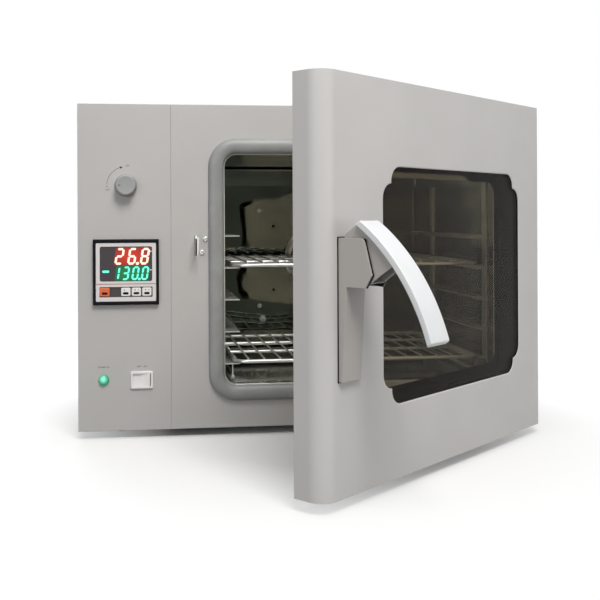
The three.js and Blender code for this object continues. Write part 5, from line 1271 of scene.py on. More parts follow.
@dataclass(frozen=True)
class Chamber(Assembly):
    """The heated space: liner, seal, perforated baffle and temperature probe."""

    back: float = 385
    sheet: float = 1.2
    flange: float = 12
    flange_front: float = 1.8
    inlet_y: float = 250
    inlet_radius: float = 19.5
    seal_width: float = 23
    seal_rise: float = 9.7
    seal_base: float = 1
    seal_tongue: float = 1.5
    edge_radius: float = 0.75
    edge_inset: float = 0.7
    edge_front: float = 0.9
    plate_gap: float = 0.3
    plate_corner: float = 2
    plate_margin: float = 36
    slot_inner: float = 16
    slot_band: float = 11
    slot_web: float = 5
    slot_rings: int = 3
    slot_sectors: int = 4
    web_angle: float = 9
    post_radius: float = 4
    post_x: float = 108
    post_z: float = 90
    screw_radius: float = 4.5
    screw_rise: float = 2.4
    hole_radius: float = 2.5
    hole_x: float = 81
    hole_z: float = 60
    probe_x: float = 321
    probe_z: float = 121
    probe_hole: float = 2.7
    probe_radius: float = 2.4
    probe_length: float = 13
    probe_end: float = 455.1

    def build(self) -> None:
        """Builds the chamber's pieces."""
        self.make("liner", self._liner(), Paints.STEEL, Edges(50), "chamber_liner")
        self.make("seal", self._seal(), Paints.SEAL, Edges(60), "chamber_gasket")
        radius, inset, front = self.edge_radius, self.edge_inset, self.edge_front
        turn = np.arange(8) / 8 * FULL_TURN
        wire = [(radius * math.cos(t) - inset, radius * math.sin(t) - front) for t in turn]
        self.make("mouth_edge", Shape.grid(self._rings(wire, 14), closed=True), Paints.BRIGHT, Edges(80))
        self.make("baffle", self._baffle(), Paints.MIRROR, Edges(30, rounding=0.25), "air_baffle")
        for number, (x, z) in enumerate(self._corners(self.post_x, self.post_z)):
            head = screw_head(x, z, SIZES.chamber_depth, self.screw_radius, self.screw_rise)
            self.make(f"baffle_screw_{number + 1}", head, Paints.BRIGHT)
        self.make("probe", self._probe(), Paints.BRIGHT, Edges(35, rounding=0.3), "temperature_probe")

    def _rings(self, section: Iterable[Sequence[float]], steps: int) -> Array:
        """The mouth's outline, moved out by each offset of a section and set at its depth y."""
        mouth, corner = SIZES.chamber, SIZES.chamber_corner
        return np.stack([at_depth(mouth.grown(o).outline(corner + o, steps), y) for o, y in section])

    def _liner(self) -> Shape:
        """The liner: a drawn box with round corners, a rolled mouth flange and the vent's inlet.

        Rows of one outline, each moved out by an offset and set at a depth, go from the rear floor's
        rounding forward along the walls, round the mouth onto the flange, and back outside. The long
        straight panel of the left wall is left out and filled again with the inlet's hole in it.

        Returns:
            The closed liner.
        """
        turn = quarter(5)
        bend, mouth, land, steps = 5, 2, 2, 12
        sheet, flange, front = self.sheet, self.flange, self.flange_front
        near, far = front + mouth + land, self.back - bend
        inside = [(-bend * (1 - math.sin(t)), far + bend * math.cos(t)) for t in turn]
        lip = [(mouth * (1 - math.cos(t)), front + mouth * (1 - math.sin(t))) for t in turn]
        rows = [*inside, (0, near), *lip, (flange, front)]
        rows += [(flange, front + sheet), (sheet, front + sheet), (sheet, self.back + sheet)]
        shell = Shape.grid(self._rings(rows, steps))
        first = 2 * (steps + 1) - 1
        columns = 4 * (steps + 1)
        wall = len(inside) - 1
        corners = {wall * columns + first, wall * columns + first + 1}
        corners |= {(wall + 1) * columns + first, (wall + 1) * columns + first + 1}
        shell.faces = [face for face in shell.faces if set(face) != corners]
        low, high = SIZES.chamber.bottom + SIZES.chamber_corner, SIZES.chamber.top - SIZES.chamber_corner
        panel = np.array([[near, low], [far, low], [far, high], [near, high]], float)
        hole = circle(self.inlet_y, SIZES.vent_z, self.inlet_radius, 56)
        flat = Shape.flat([panel, hole])
        loops = np.concatenate([panel, hole])
        left = np.column_stack([np.full(len(loops), SIZES.chamber.left), loops])
        return Shape.joined([shell, Shape(left, flat.faces)])

    def _seal(self) -> Shape:
        """The seal: half an oval on a thin base, with a tongue that grips the front frame's edge.

        Going over the bead by an angle t, the section lies width / 2 (1 - cos t) out from the
        chamber's outline and crown times sin t to the power 0.85 in front of it.

        Returns:
            The closed ring.
        """
        turn = np.linspace(0, math.pi, 19)
        base = -self.seal_base
        crown = self.seal_rise + base
        offset = self.seal_width / 2 * (1 - np.cos(turn))
        depth = base - crown * np.sin(turn) ** 0.85
        lip = SIZES.mouth_reveal - SIZES.gap
        section = [(0.0, self.seal_tongue), *zip(offset, depth), (self.seal_width, -SIZES.gap)]
        section += [(lip, -SIZES.gap), (lip, self.seal_tongue)]
        return Shape.grid(self._rings(section, 14), closed=True)

    def _corners(self, x: float, z: float) -> list[tuple[float, float]]:
        """The four places that lie x and z from the fan's axis."""
        return [(SIZES.fan_x + a * x, SIZES.fan_z + b * z) for a in (-1, 1) for b in (-1, 1)]

    def _baffle(self) -> Shape:
        """The baffle: a plate with rings of curved air slots, small holes and four posts behind it.

        A slot's outline runs along its outer radius from one angle to the next and back along its
        inner radius.

        Returns:
            The plate and its posts.
        """
        mouth, margin = SIZES.chamber.grown(-self.plate_gap), self.plate_margin
        rect = Rect(mouth.left, mouth.right, SIZES.chamber.bottom + margin, SIZES.chamber.top - margin)
        loops = [rect.outline(self.plate_corner, 4)]
        for ring in range(self.slot_rings):
            near = self.slot_inner + ring * (self.slot_band + self.slot_web)
            for sector in range(self.slot_sectors):
                turn = FULL_TURN / self.slot_sectors
                half_web = math.radians(self.web_angle / 2)
                angle = np.linspace(sector * turn + half_web, (sector + 1) * turn - half_web, 20)
                spokes = np.column_stack([np.cos(angle), np.sin(angle)])
                arc = np.concatenate([spokes * (near + self.slot_band), spokes[::-1] * near])
                loops.append(arc + (SIZES.fan_x, SIZES.fan_z))
        loops += [circle(x, z, self.hole_radius, 20) for x, z in self._corners(self.hole_x, self.hole_z)]
        loops.append(circle(self.probe_x, self.probe_z, self.probe_hole, 20))
        front, back = SIZES.chamber_depth, SIZES.chamber_depth + self.sheet
        plate = Shape.plate(loops, front, back)
        posts = [
            Shape.rod((x, back, z), (x, self.back - SIZES.gap, z), self.post_radius, 24)
            for x, z in self._corners(self.post_x, self.post_z)
        ]
        return Shape.joined([plate, *posts])

    def _probe(self) -> Shape:
        """The probe: a hexagon fitting on the baffle, a round collar and a stem with a domed tip.

        Returns:
            The fitting and the stem.
        """
        seat = SIZES.chamber_depth - SIZES.gap
        x, z, radius, end = self.probe_x, self.probe_z, self.probe_radius, self.probe_end
        tip, neck, bevel, foot = (seat - reach for reach in (self.probe_length, 5.2, 4.6, 3))
        ring, collar, nut_radius, nut = 3.6, 4.2, 6.5, 4
        turn = quarter(7)
        stem = np.concatenate([
            np.column_stack([radius * np.sin(turn), tip + radius * (1 - np.cos(turn))]),
            [[radius, neck], [ring, neck], [collar, bevel], [collar, foot]],
            [[radius, foot], [radius, end], [0, end]],
        ])
        hexagon = Shape.plate([circle(x, z, nut_radius, 6)], seat - nut, seat)
        return Shape.joined([hexagon, Shape.turned(stem, (x, 0, z), Axis.Y, 40)])


@dataclass(frozen=True)
class Racks(Assembly):
    """Side racks with their runners, and the two wire shelves that slide on them.

    Attributes:
        posts: The depths y of each rack's two posts.
    """

    levels: int = 5
    low_shelf: float = 94
    spacing: float = 48.5
    upper_level: int = 3
    rim: float = 3
    reach: float = 27
    runner_front: float = 27
    runner_rear: float = 330
    posts: tuple[float, float] = (40, 290)
    post_width: float = 16
    post_bottom: float = 83
    post_top: float = 367
    strip: float = 2
    strip_corner: float = 0.4
    runner_sheet: float = 1.5
    runner_depth: float = 9
    runner_bend: float = 1.9
    foot_reach: float = 16
    foot_drop: float = 20
    foot_radius: float = 3
    tie_corner: float = 0.3
    shelf_margin: float = 18.5
    shelf_front: float = 20
    shelf_rear: float = 305
    rod: float = 2.5
    wire: float = 1.5
    wires: int = 15
    corner: float = 20
    wire_margin: float = 20
    weld: float = 0.5

    def build(self) -> None:
        """Builds both racks and both shelves."""
        for side, wall, way in (("left", SIZES.chamber.left, 1), ("right", SIZES.chamber.right, -1)):
            rack = self._rack(wall, way)
            self.make(f"rack_{side}", rack, Paints.RUNNER, Edges(30, rounding=0.3), f"shelf_rail_{side}")
        upper = self.low_shelf + self.upper_level * self.spacing
        for name, z in (("lower", self.low_shelf), ("upper", upper)):
            space = self.space.riding(f"{name}_shelf")
            self.make(f"wire_shelf_{name}", self._shelf(z), Paints.BRIGHT, SOFT, f"shelf_{name}", space)

    def _rack(self, wall: float, way: int) -> Shape:
        """One rack: two posts on the wall, a folded runner at each level and a round foot rail.

        Args:
            wall: The wall's x.
            way: 1 where the rack reaches to the right, -1 to the left.

        Returns:
            The rack.
        """
        strip, thick, depth, half_post = self.strip, self.runner_sheet, self.runner_depth, self.post_width / 2
        parts = []
        for y in self.posts:
            near, far = sorted((wall + way * SIZES.gap, wall + way * (SIZES.gap + strip)))
            upright = Rect(near, far, self.post_bottom, self.post_top)
            parts.append(Shape.plate([upright.outline(self.strip_corner, 2)], y - half_post, y + half_post))
        for level in range(self.levels):
            top = self.low_shelf + level * self.spacing - self.rim - SIZES.gap
            bend = quarter(5)
            leg, outer = SIZES.gap + strip / 2, self.runner_bend
            fold = np.column_stack([leg + outer - outer * np.cos(bend), top - outer + outer * np.sin(bend)])
            hem = np.linspace(QUARTER, -QUARTER, 7)
            edge = np.column_stack([
                self.reach - thick / 2 + thick / 2 * np.cos(hem),
                top - thick / 2 + thick / 2 * np.sin(hem),
            ])
            inner = [[leg + thick, top - thick], [leg + thick, top - depth], [leg, top - depth]]
            section = np.concatenate([fold, edge, inner]) * (way, 1) + (wall, 0)
            parts.append(Shape.plate([section], self.runner_front, self.runner_rear))
        rail_x = wall + way * self.foot_reach
        low = self.low_shelf - self.rim - SIZES.gap - thick / 2
        rail_z = low - self.foot_drop
        ends = [(rail_x, y, rail_z) for y in (self.runner_front, self.runner_rear)]
        parts.append(Shape.rod(*ends, self.foot_radius, 24))
        for y in self.posts:
            tie = Rect(rail_x - thick / 2, rail_x + thick / 2, rail_z, low)
            parts.append(Shape.plate([tie.outline(self.tie_corner, 2)], y - half_post, y + half_post))
        return Shape.joined(parts)

    def _shelf(self, z: float) -> Shape:
        """One shelf: a bent round rim, two cross rods and fine wires welded on top of them.

        Args:
            z: The height of the rim's centre line.

        Returns:
            The shelf.
        """
        left, right = SIZES.chamber.left + self.shelf_margin, SIZES.chamber.right - self.shelf_margin
        front, rear = self.shelf_front, self.shelf_rear
        line = Rect(left, right, front, rear).outline(self.corner, 14)
        angle = np.arange(20) / 20 * FULL_TURN
        ring = np.column_stack([self.rim * np.cos(angle), self.rim * np.sin(angle)])
        parts = [Shape.swept(at_height(line, z), ring, (0, 0, 1))]
        lift = self.rim - self.rod
        for share in (1 / 3, 2 / 3):
            y = front + (rear - front) * share
            parts.append(Shape.rod((left, y, z + lift), (right, y, z + lift), self.rod, 18))
        top = z + self.rim + self.wire - self.weld
        for x in np.linspace(left + self.wire_margin, right - self.wire_margin, self.wires):
            ends = (x, front - self.wire, top), (x, rear + self.wire, top)
            parts.append(Shape.rod(*ends, self.wire, 12))
        return Shape.joined(parts)


@dataclass(frozen=True)
class Vent(Assembly):
    """The air vent: duct, and the knob with its dial on the column.

    Attributes:
        words: Each word of the dial, and how far its middle lies right of and above the knob's.
    """

    duct_y: float = 250
    duct_radius: float = 21
    bend: float = 30
    outlet: float = 496.5
    duct_wall: float = 1.5
    seat_radius: float = 20.2
    seat_angle: float = 47
    seat_front: float = 329.3
    seat_back: float = 331.3
    hub_radius: float = 6
    hub_bore: float = 3.3
    knob_radius: float = 16.6
    knob_depth: float = 18
    knob_edge: float = 2.2
    top_radius: float = 14.6
    index: Rect = Rect(-12.2, -7.6, -0.5, 0.5)
    index_corner: float = 0.45
    dial_radius: float = 27.5
    line_half: float = 0.3
    arrow_half: float = 1.8
    dot_drop: float = 1.5
    dot_radius: float = 0.8
    film: float = 0.06
    words: tuple[tuple[str, float, float], ...] = (("ON", 2.5, 29.2), ("OFF", -26.5, -6.5))
    word_height: float = 2.4

    def build(self) -> None:
        """Builds the duct, the knob and its printed dial."""
        self.make("duct", self._duct(), Paints.ZINC, Edges(40), "vent_duct")
        valve = self.space.riding("vent_valve")
        self.make("knob", self._knob(), Paints.KNOB, Edges(50), "vent_knob", valve)
        crown = -SIZES.gap - self.knob_depth
        bar = self.index.outline(self.index_corner, 5) + (SIZES.column_x, SIZES.vent_z)
        sunk, proud = 0.6, 0.1
        self.make("knob_index", Shape.plate([bar], crown + proud, crown + sunk), Paints.PRINT, space=valve)
        self.make("vent_dial", self._dial(), Paints.PRINT)

    def _duct(self) -> Shape:
        """The duct: a tube from the chamber's left wall round an elbow to the outlet, with its valve seat.

        Returns:
            The tube, the two half plates inside it and the hub between them.
        """
        x, z = SIZES.column_x, SIZES.vent_z
        turn = quarter(14)
        elbow_x, elbow_y = x + self.bend, self.duct_y + self.bend
        bend = np.column_stack([elbow_x - self.bend * np.sin(turn), elbow_y - self.bend * np.cos(turn)])
        start = SIZES.chamber.left - self.duct_wall
        line = np.concatenate([[[start, self.duct_y]], bend, [[x, self.outlet]]])
        path = at_height(line, z)
        way = np.concatenate([
            [[-1, 0, 0]],
            np.column_stack([-np.cos(turn), np.sin(turn), np.zeros_like(turn)]),
            [[0, 1, 0]],
        ])
        side = np.cross([0, 0, 1], way)
        angle = np.arange(56) / 56 * FULL_TURN
        up = np.array([0, 0, 1])
        hoops = []
        for radius in (self.duct_radius, self.duct_radius - self.duct_wall):
            across = radius * np.cos(angle)[None, :, None] * side[:, None, :]
            rise = radius * np.sin(angle)[None, :, None] * up
            hoops.append(path[:, None, :] + across + rise)
        tube = Shape.grid(np.concatenate([hoops[0], hoops[1][::-1]]), closed=True)
        seats = []
        half, radius = math.radians(self.seat_angle), self.seat_radius
        for middle in (0.0, math.pi):
            spokes = np.linspace(middle - half, middle + half, 22)
            arc = np.column_stack([x + radius * np.cos(spokes), z + radius * np.sin(spokes)])
            seats.append(Shape.plate([np.concatenate([[[x, z]], arc])], self.seat_front, self.seat_back))
        loops = [circle(x, z, self.hub_radius, 32), circle(x, z, self.hub_bore, 32)]
        hub = Shape.plate(loops, self.seat_front, self.seat_back)
        return Shape.joined([tube, *seats, hub])

    def _knob(self) -> Shape:
        """The knob: a flat top with a rounded edge, a slightly tapered side and a stepped skirt.

        Returns:
            The closed knob.
        """
        base, edge, top, foot = -SIZES.gap, self.knob_edge, self.top_radius, self.knob_radius
        crown = base - self.knob_depth
        sunk, floor, slope, flare, bevel = 0.5, 2, 1.2, 0.7, 0.4
        skirt_front, skirt_mid, skirt_back = (base - reach for reach in (4, 3, 2.4))
        turn = quarter(8)
        profile = np.concatenate([
            [[0, crown + sunk], [top - edge - floor, crown + sunk], [top - edge - slope, crown]],
            np.column_stack([top - edge + edge * np.sin(turn), crown + edge * (1 - np.cos(turn))]),
            [[top + flare, skirt_front], [foot - bevel, skirt_mid], [foot, skirt_back]],
            [[foot, base], [0, base]],
        ])
        return Shape.turned(profile, (SIZES.column_x, 0, SIZES.vent_z), Axis.Y, 96)

    def _dial(self) -> Shape:
        """The printed dial: an arc from a dot with OFF to an arrowhead with ON.

        Returns:
            The print as a thin film.
        """
        x, z, y, radius = SIZES.column_x, SIZES.vent_z, -self.film, self.dial_radius
        angle = np.radians(np.linspace(176, 106, 30))
        spokes = np.column_stack([np.cos(angle), np.sin(angle)])
        arc = np.concatenate([spokes * (radius + self.line_half), spokes[::-1] * (radius - self.line_half)])
        tip, root = (np.array([math.cos(t), math.sin(t)]) for t in np.radians([98, 108]))
        head = np.array([tip * radius, root * (radius + self.arrow_half), root * (radius - self.arrow_half)])
        parts = [Shape.plate([loop + (x, z)], y, 0) for loop in (arc, head)]
        parts.append(Shape.plate([circle(x - radius, z - self.dot_drop, self.dot_radius, 16)], y, 0))
        parts += [lettering(word, x + right, z + up, 0, self.word_height) for word, right, up in self.words]
        return Shape.joined(parts)


@dataclass(frozen=True)
class Controller(Assembly):
    """The temperature controller: bezel, face, display with lit figures, and four keys."""

    x: float = SIZES.column_x
    z: float = SIZES.controller_z
    bezel: float = 96
    front: float = -7.3
    floor: float = -4
    recess_width: float = 88
    recess_height: float = 86
    window_width: float = 76
    window_height: float = 51
    window_rise: float = 12
    strip_width: float = 77
    strip_height: float = 15
    key_drop: float = 29
    face_front: float = -6.3
    face_back: float = -4.3
    lean: float = 0.16
    bezel_corner: float = 1.2
    recess_corner: float = 1
    bezel_roll: float = 1.6
    box_size: float = 90.6
    box_back: float = 62
    box_corner: float = 3
    box_roll: float = 2
    film: float = 0.05
    skin_sunk: float = 0.7
    figure_film: float = 0.14
    mode_size: tuple[float, float] = (14.9, 12.7)
    key_size: tuple[float, float] = (13.8, 12.3)
    cap_rise: float = 0.5
    cap_corner: float = 2.2
    cap_back: float = -1.4
    cap_roll: float = 1.2
    oval_size: tuple[float, float] = (8.2, 3.5)
    oval_corner: float = 1.7
    oval_drop: float = 1.9

    def build(self) -> None:
        """Builds the controller's pieces."""
        self.make("controller_bezel", self._case(), Paints.BLACK, Edges(50), "controller_case")
        self._face()
        self._display()
        self._keys()

    def _window(self) -> Rect:
        """The display's window."""
        return Rect.around(self.x, self.z + self.window_rise, self.window_width, self.window_height)

    def _strip(self) -> Rect:
        """The window of the key strip."""
        return Rect.around(self.x, self.z - self.key_drop, self.strip_width, self.strip_height)

    def _case(self) -> Shape:
        """The bezel, rolled outside and stepped inside, its floor, and the box behind the panel.

        Returns:
            The case.
        """
        outer = Rect.around(self.x, self.z, self.bezel, self.bezel)
        recess = Rect.around(self.x, self.z, self.recess_width, self.recess_height)
        turn, roll, corner = quarter(6), self.bezel_roll, self.bezel_corner
        back, ease, step, overlap = -SIZES.gap, 0.5, 1, 0.2
        inner = recess.outline(self.recess_corner, 6)
        rings = [at_depth(outer.outline(corner, 6), back)]
        for t in turn:
            rolled = outer.grown(-roll * (1 - math.cos(t))).outline(corner, 6)
            rings.append(at_depth(rolled, self.front + roll * (1 - math.sin(t))))
        rings.append(at_depth(recess.grown(ease).outline(corner, 6), self.front))
        rings += [at_depth(inner, y) for y in (self.front + ease, self.floor + step, back)]
        ring = Shape.grid(np.stack(rings), closed=True)
        bottom = recess.grown(overlap).outline(self.recess_corner, 6)
        floor = Shape.plate([bottom, *self._pockets()], self.floor, back)
        block = Rect.around(self.x, self.z, self.box_size, self.box_size)
        box = Shape.rolled(block, self.box_corner, self.box_back, back, self.box_roll)
        return Shape.joined([ring, floor, box])

    def _key_rects(self) -> dict[str, Rect]:
        """Each key's outline, by its name.

        Returns:
            The four outlines, from the left.
        """
        z, places = self.z - self.key_drop, {"mode": -31, "shift": -0.4, "down": 14.9, "up": 30.2}
        sizes = {name: self.mode_size if name == "mode" else self.key_size for name in places}
        return {name: Rect.around(self.x + offset, z, *sizes[name]) for name, offset in places.items()}

    def _pockets(self) -> list[Array]:
        """The outlines of the pockets that the keys sink into."""
        corner = 2.5
        return [rect.grown(SIZES.gap).outline(corner, 6) for rect in self._key_rects().values()]

    def _face(self) -> None:
        """The white face film with its two windows, and the rust-coloured line printed across it."""
        corner, window_corner, play, inset, drop, half, tight = 1.5, 3, 0.6, 0.4, 17.3, 0.5, 0.1
        rect = Rect.around(self.x, self.z, self.recess_width - play, self.recess_height - play)
        loops = [rect.outline(corner, 6), self._window().outline(window_corner, 8)]
        face = Shape.plate([*loops, self._strip().outline(corner, 6)], self.face_front, self.face_back)
        self.make("face_film", face, Paints.FACE, Edges(35, rounding=0.3), "controller_face")
        line_z = self.z - drop
        line = Rect(rect.left + inset, rect.right - inset, line_z - half, line_z + half)
        film = Shape.plate([line.outline(tight, 2)], self.face_front - self.film, self.face_front)
        self.make("face_line", film, Paints.RUST)

    def _display(self) -> None:
        """The smoked pane, the glow behind the figures, the figures, and the small marks beside them."""
        window, skin = self._window(), self.face_front + self.skin_sunk
        corner, roll, glow_corner, film, strength, reach_share = 2.8, 0.3, 2, 0.08, 0.8, 0.62
        pane = Shape.rolled(window.grown(-SIZES.gap), corner, skin, self.face_back, roll)
        self.make("display_pane", pane, Paints.PANE, SOFT, "display_window")
        side, end, split, seam, step, top_gap, foot = 19.6, 5.6, 23.4, 0.6, 1.4, 1, 0.4
        left, right, middle = window.left + side, window.right - end, window.bottom + split
        upper = Rect(left, right, middle, window.top - top_gap)
        lower = Rect(left + step, right, window.bottom + foot, middle - seam)
        for name, area, core, rim in (
            ("red", upper, (196, 34, 16), (128, 26, 22)),
            ("green", lower, (0, 118, 52), (0, 84, 50)),
        ):
            spot = [(area.left + area.right) / 2, skin, (area.bottom + area.top) / 2]
            centre = tuple(self.space.carry(np.array([spot]))[0])
            width, height = area.right - area.left, area.top - area.bottom
            reach = (width * reach_share * METRES, 1.0, height * reach_share * METRES)
            glow = Glow(f"{name} glow", "display_pane", linear(*core), centre, reach, linear(*rim), strength)
            outline = self._leaning(area.outline(glow_corner, 8), area.bottom)
            self.make(f"{name}_glow", Shape.plate([outline], skin - film, skin), glow)
        self._figures(skin)

    def _figures(self, skin: float) -> None:
        """The lit figures 26.8 over 130.0, with the minus at the left of the lower row.

        Args:
            skin: The depth y of the pane's front.
        """
        window, front = self._window(), skin - self.figure_film
        spread = ((0.0, 0.0, 0.0), (0.5, 0.5, 0.5))
        cream, mint = linear(255, 236, 214), linear(120, 255, 232)
        warm = Glow("warm figure light", "display_pane", cream, *spread, linear(255, 224, 200))
        cool = Glow("cool figure light", "display_pane", mint, *spread, linear(96, 250, 220))
        upper_x, upper_rise, upper_pitch, upper_height = 22.6, 26, 18.4, 21.2
        lower_x, lower_rise, lower_pitch, lower_height = 18.8, 3.2, 14, 17.2
        upper_z, lower_z = window.bottom + upper_rise, window.bottom + lower_rise
        upper = self._row("26.8", window.left + upper_x, upper_z, upper_pitch, upper_height, front)
        self.make("figures_upper", upper, warm)
        lower = self._row("130.0", window.left + lower_x, lower_z, lower_pitch, lower_height, front)
        self.make("figures_lower", lower, cool)
        minus_x, minus_rise, minus_width, minus_height, minus_corner = 8.6, 11.2, 9.8, 3.4, 1.6
        bar = Rect.around(window.left + minus_x, lower_z + minus_rise, minus_width, minus_height)
        self.make("figures_minus", Shape.plate([bar.outline(minus_corner, 8)], front, skin), cool)
        inset, width, height, corner, upper_mark, lower_mark = 2, 2.4, 1.6, 0.5, 17.7, 13.3
        heights = (upper_z + upper_mark, lower_z + lower_mark)
        marks = [Rect.around(window.right - inset, z, width, height).outline(corner, 5) for z in heights]
        film = Shape.joined([Shape.plate([mark], front, skin) for mark in marks])
        self.make("display_marks", film, Paints.FACE)

    def _leaning(self, outline: Array, foot: float) -> Array:
        """An outline leaned over: each point moves right by the lean times its height over the foot."""
        return np.column_stack([outline[:, 0] + self.lean * (outline[:, 1] - foot), outline[:, 1]])

    def _row(self, words: str, left: float, bottom: float, pitch: float, height: float, y: float) -> Shape:
        """A row of seven-segment figures, leaning to the right.

        Each lit segment is a six-sided bar between two corners of its figure. A point at the height h
        above the row's foot moves to the right by the lean times h.

        Args:
            words: The figures; a point follows the figure before it.
            left: The first figure's left side.
            bottom: The row's foot.
            pitch: The distance from one figure to the next.
            height: The figures' height.
            y: The depth of the film's front.

        Returns:
            The lit segments as a thin film.
        """
        lit = {"0": "abcdef", "1": "bc", "2": "abged", "3": "abgcd", "6": "afgedc", "8": "abcdefg"}
        width, bold, half, sheet = height * 0.42, height * 0.155, height / 2, 0.1
        spans = {
            "a": ((0, height), (width, height)),
            "b": ((width, height), (width, half)),
            "c": ((width, half), (width, 0)),
            "d": ((0, 0), (width, 0)),
            "e": ((0, half), (0, 0)),
            "f": ((0, height), (0, half)),
            "g": ((0, half), (width, half)),
        }
        bars, place = [], left
        for figure in words:
            if figure == ".":
                bars.append(circle(place - pitch + width + (pitch - width) / 2, bottom, bold * 0.7, 20))
                continue
            for name in lit[figure]:
                (x0, z0), (x1, z1) = spans[name]
                bars.append(self._bar((place + x0, bottom + z0), (place + x1, bottom + z1), bold))
            place += pitch
        skewed = [self._leaning(bar, bottom) for bar in bars]
        return Shape.joined([Shape.plate([bar], y, y + sheet) for bar in skewed])

    def _bar(self, start: Sequence[float], end: Sequence[float], bold: float) -> Array:
        """A segment between two corners: a bar with rounded shoulders and a gap at each end.

        Args:
            start, end: The corners.
            bold: The bar's width.

        Returns:
            Rows of x, z round the bar.
        """
        first, last = np.array(start), np.array(end)
        way = (last - first) / np.linalg.norm(last - first)
        side = np.array([-way[1], way[0]])
        near, far = first + way * bold * 0.12, last - way * bold * 0.12
        half, shoulder = bold / 2, bold * 0.36
        return np.array([
            near,
            near + way * shoulder - side * half,
            far - way * shoulder - side * half,
            far,
            far - way * shoulder + side * half,
            near + way * shoulder + side * half,
        ])

    def _keys(self) -> None:
        """The four keys: soft caps with a dark oval each, and small signs on the white ones."""
        play, corner, sheet, rise = 0.1, 1.4, 0.15, 3
        loops = [self._strip().grown(-play).outline(corner, 6), *self._pockets()]
        self.make("key_strip", Shape.plate(loops, self.floor - sheet, self.floor), Paints.STRIP)
        top = self.face_front - self.cap_rise
        for name, rect in self._key_rects().items():
            paint = Paints.ORANGE if name == "mode" else Paints.WHITE
            space = self.space.riding(f"{name}_key")
            cap = Shape.rolled(rect, self.cap_corner, top, self.cap_back, self.cap_roll)
            self.make(f"{name}_cap", cap, paint, SOFT, f"{name}_button", space)
            x, z = (rect.left + rect.right) / 2, (rect.bottom + rect.top) / 2
            oval = Rect.around(x, z - self.oval_drop, *self.oval_size).outline(self.oval_corner, 8)
            ink = Shape.plate([oval], top - self.film, top + self.film)
            self.make(f"{name}_oval", ink, Paints.BLACK, space=space)
            if name != "mode":
                self.make(f"{name}_signs", self._signs(name, x, z + rise, top), Paints.PRINT, space=space)

    def _signs(self, name: str, x: float, z: float, y: float) -> Shape:
        """A key's small signs: a triangle that points its way, and for two keys a dot beside it.

        Args:
            name: The key's name.
            x, z: The middle of the signs.
            y: The depth of the key's top.

        Returns:
            The signs as a thin film.
        """
        turn = {"shift": math.pi, "down": -QUARTER, "up": QUARTER}[name]
        angle = turn + np.arange(3) / 3 * FULL_TURN
        size, left, right, dot = 1.3, 2, 3, 0.7
        loops = [np.column_stack([x - left + size * np.cos(angle), z + size * np.sin(angle)])]
        if name != "shift":
            loops.append(circle(x + right, z, dot, 16))
        return Shape.joined([Shape.plate([loop], y - self.film, y + self.film) for loop in loops])


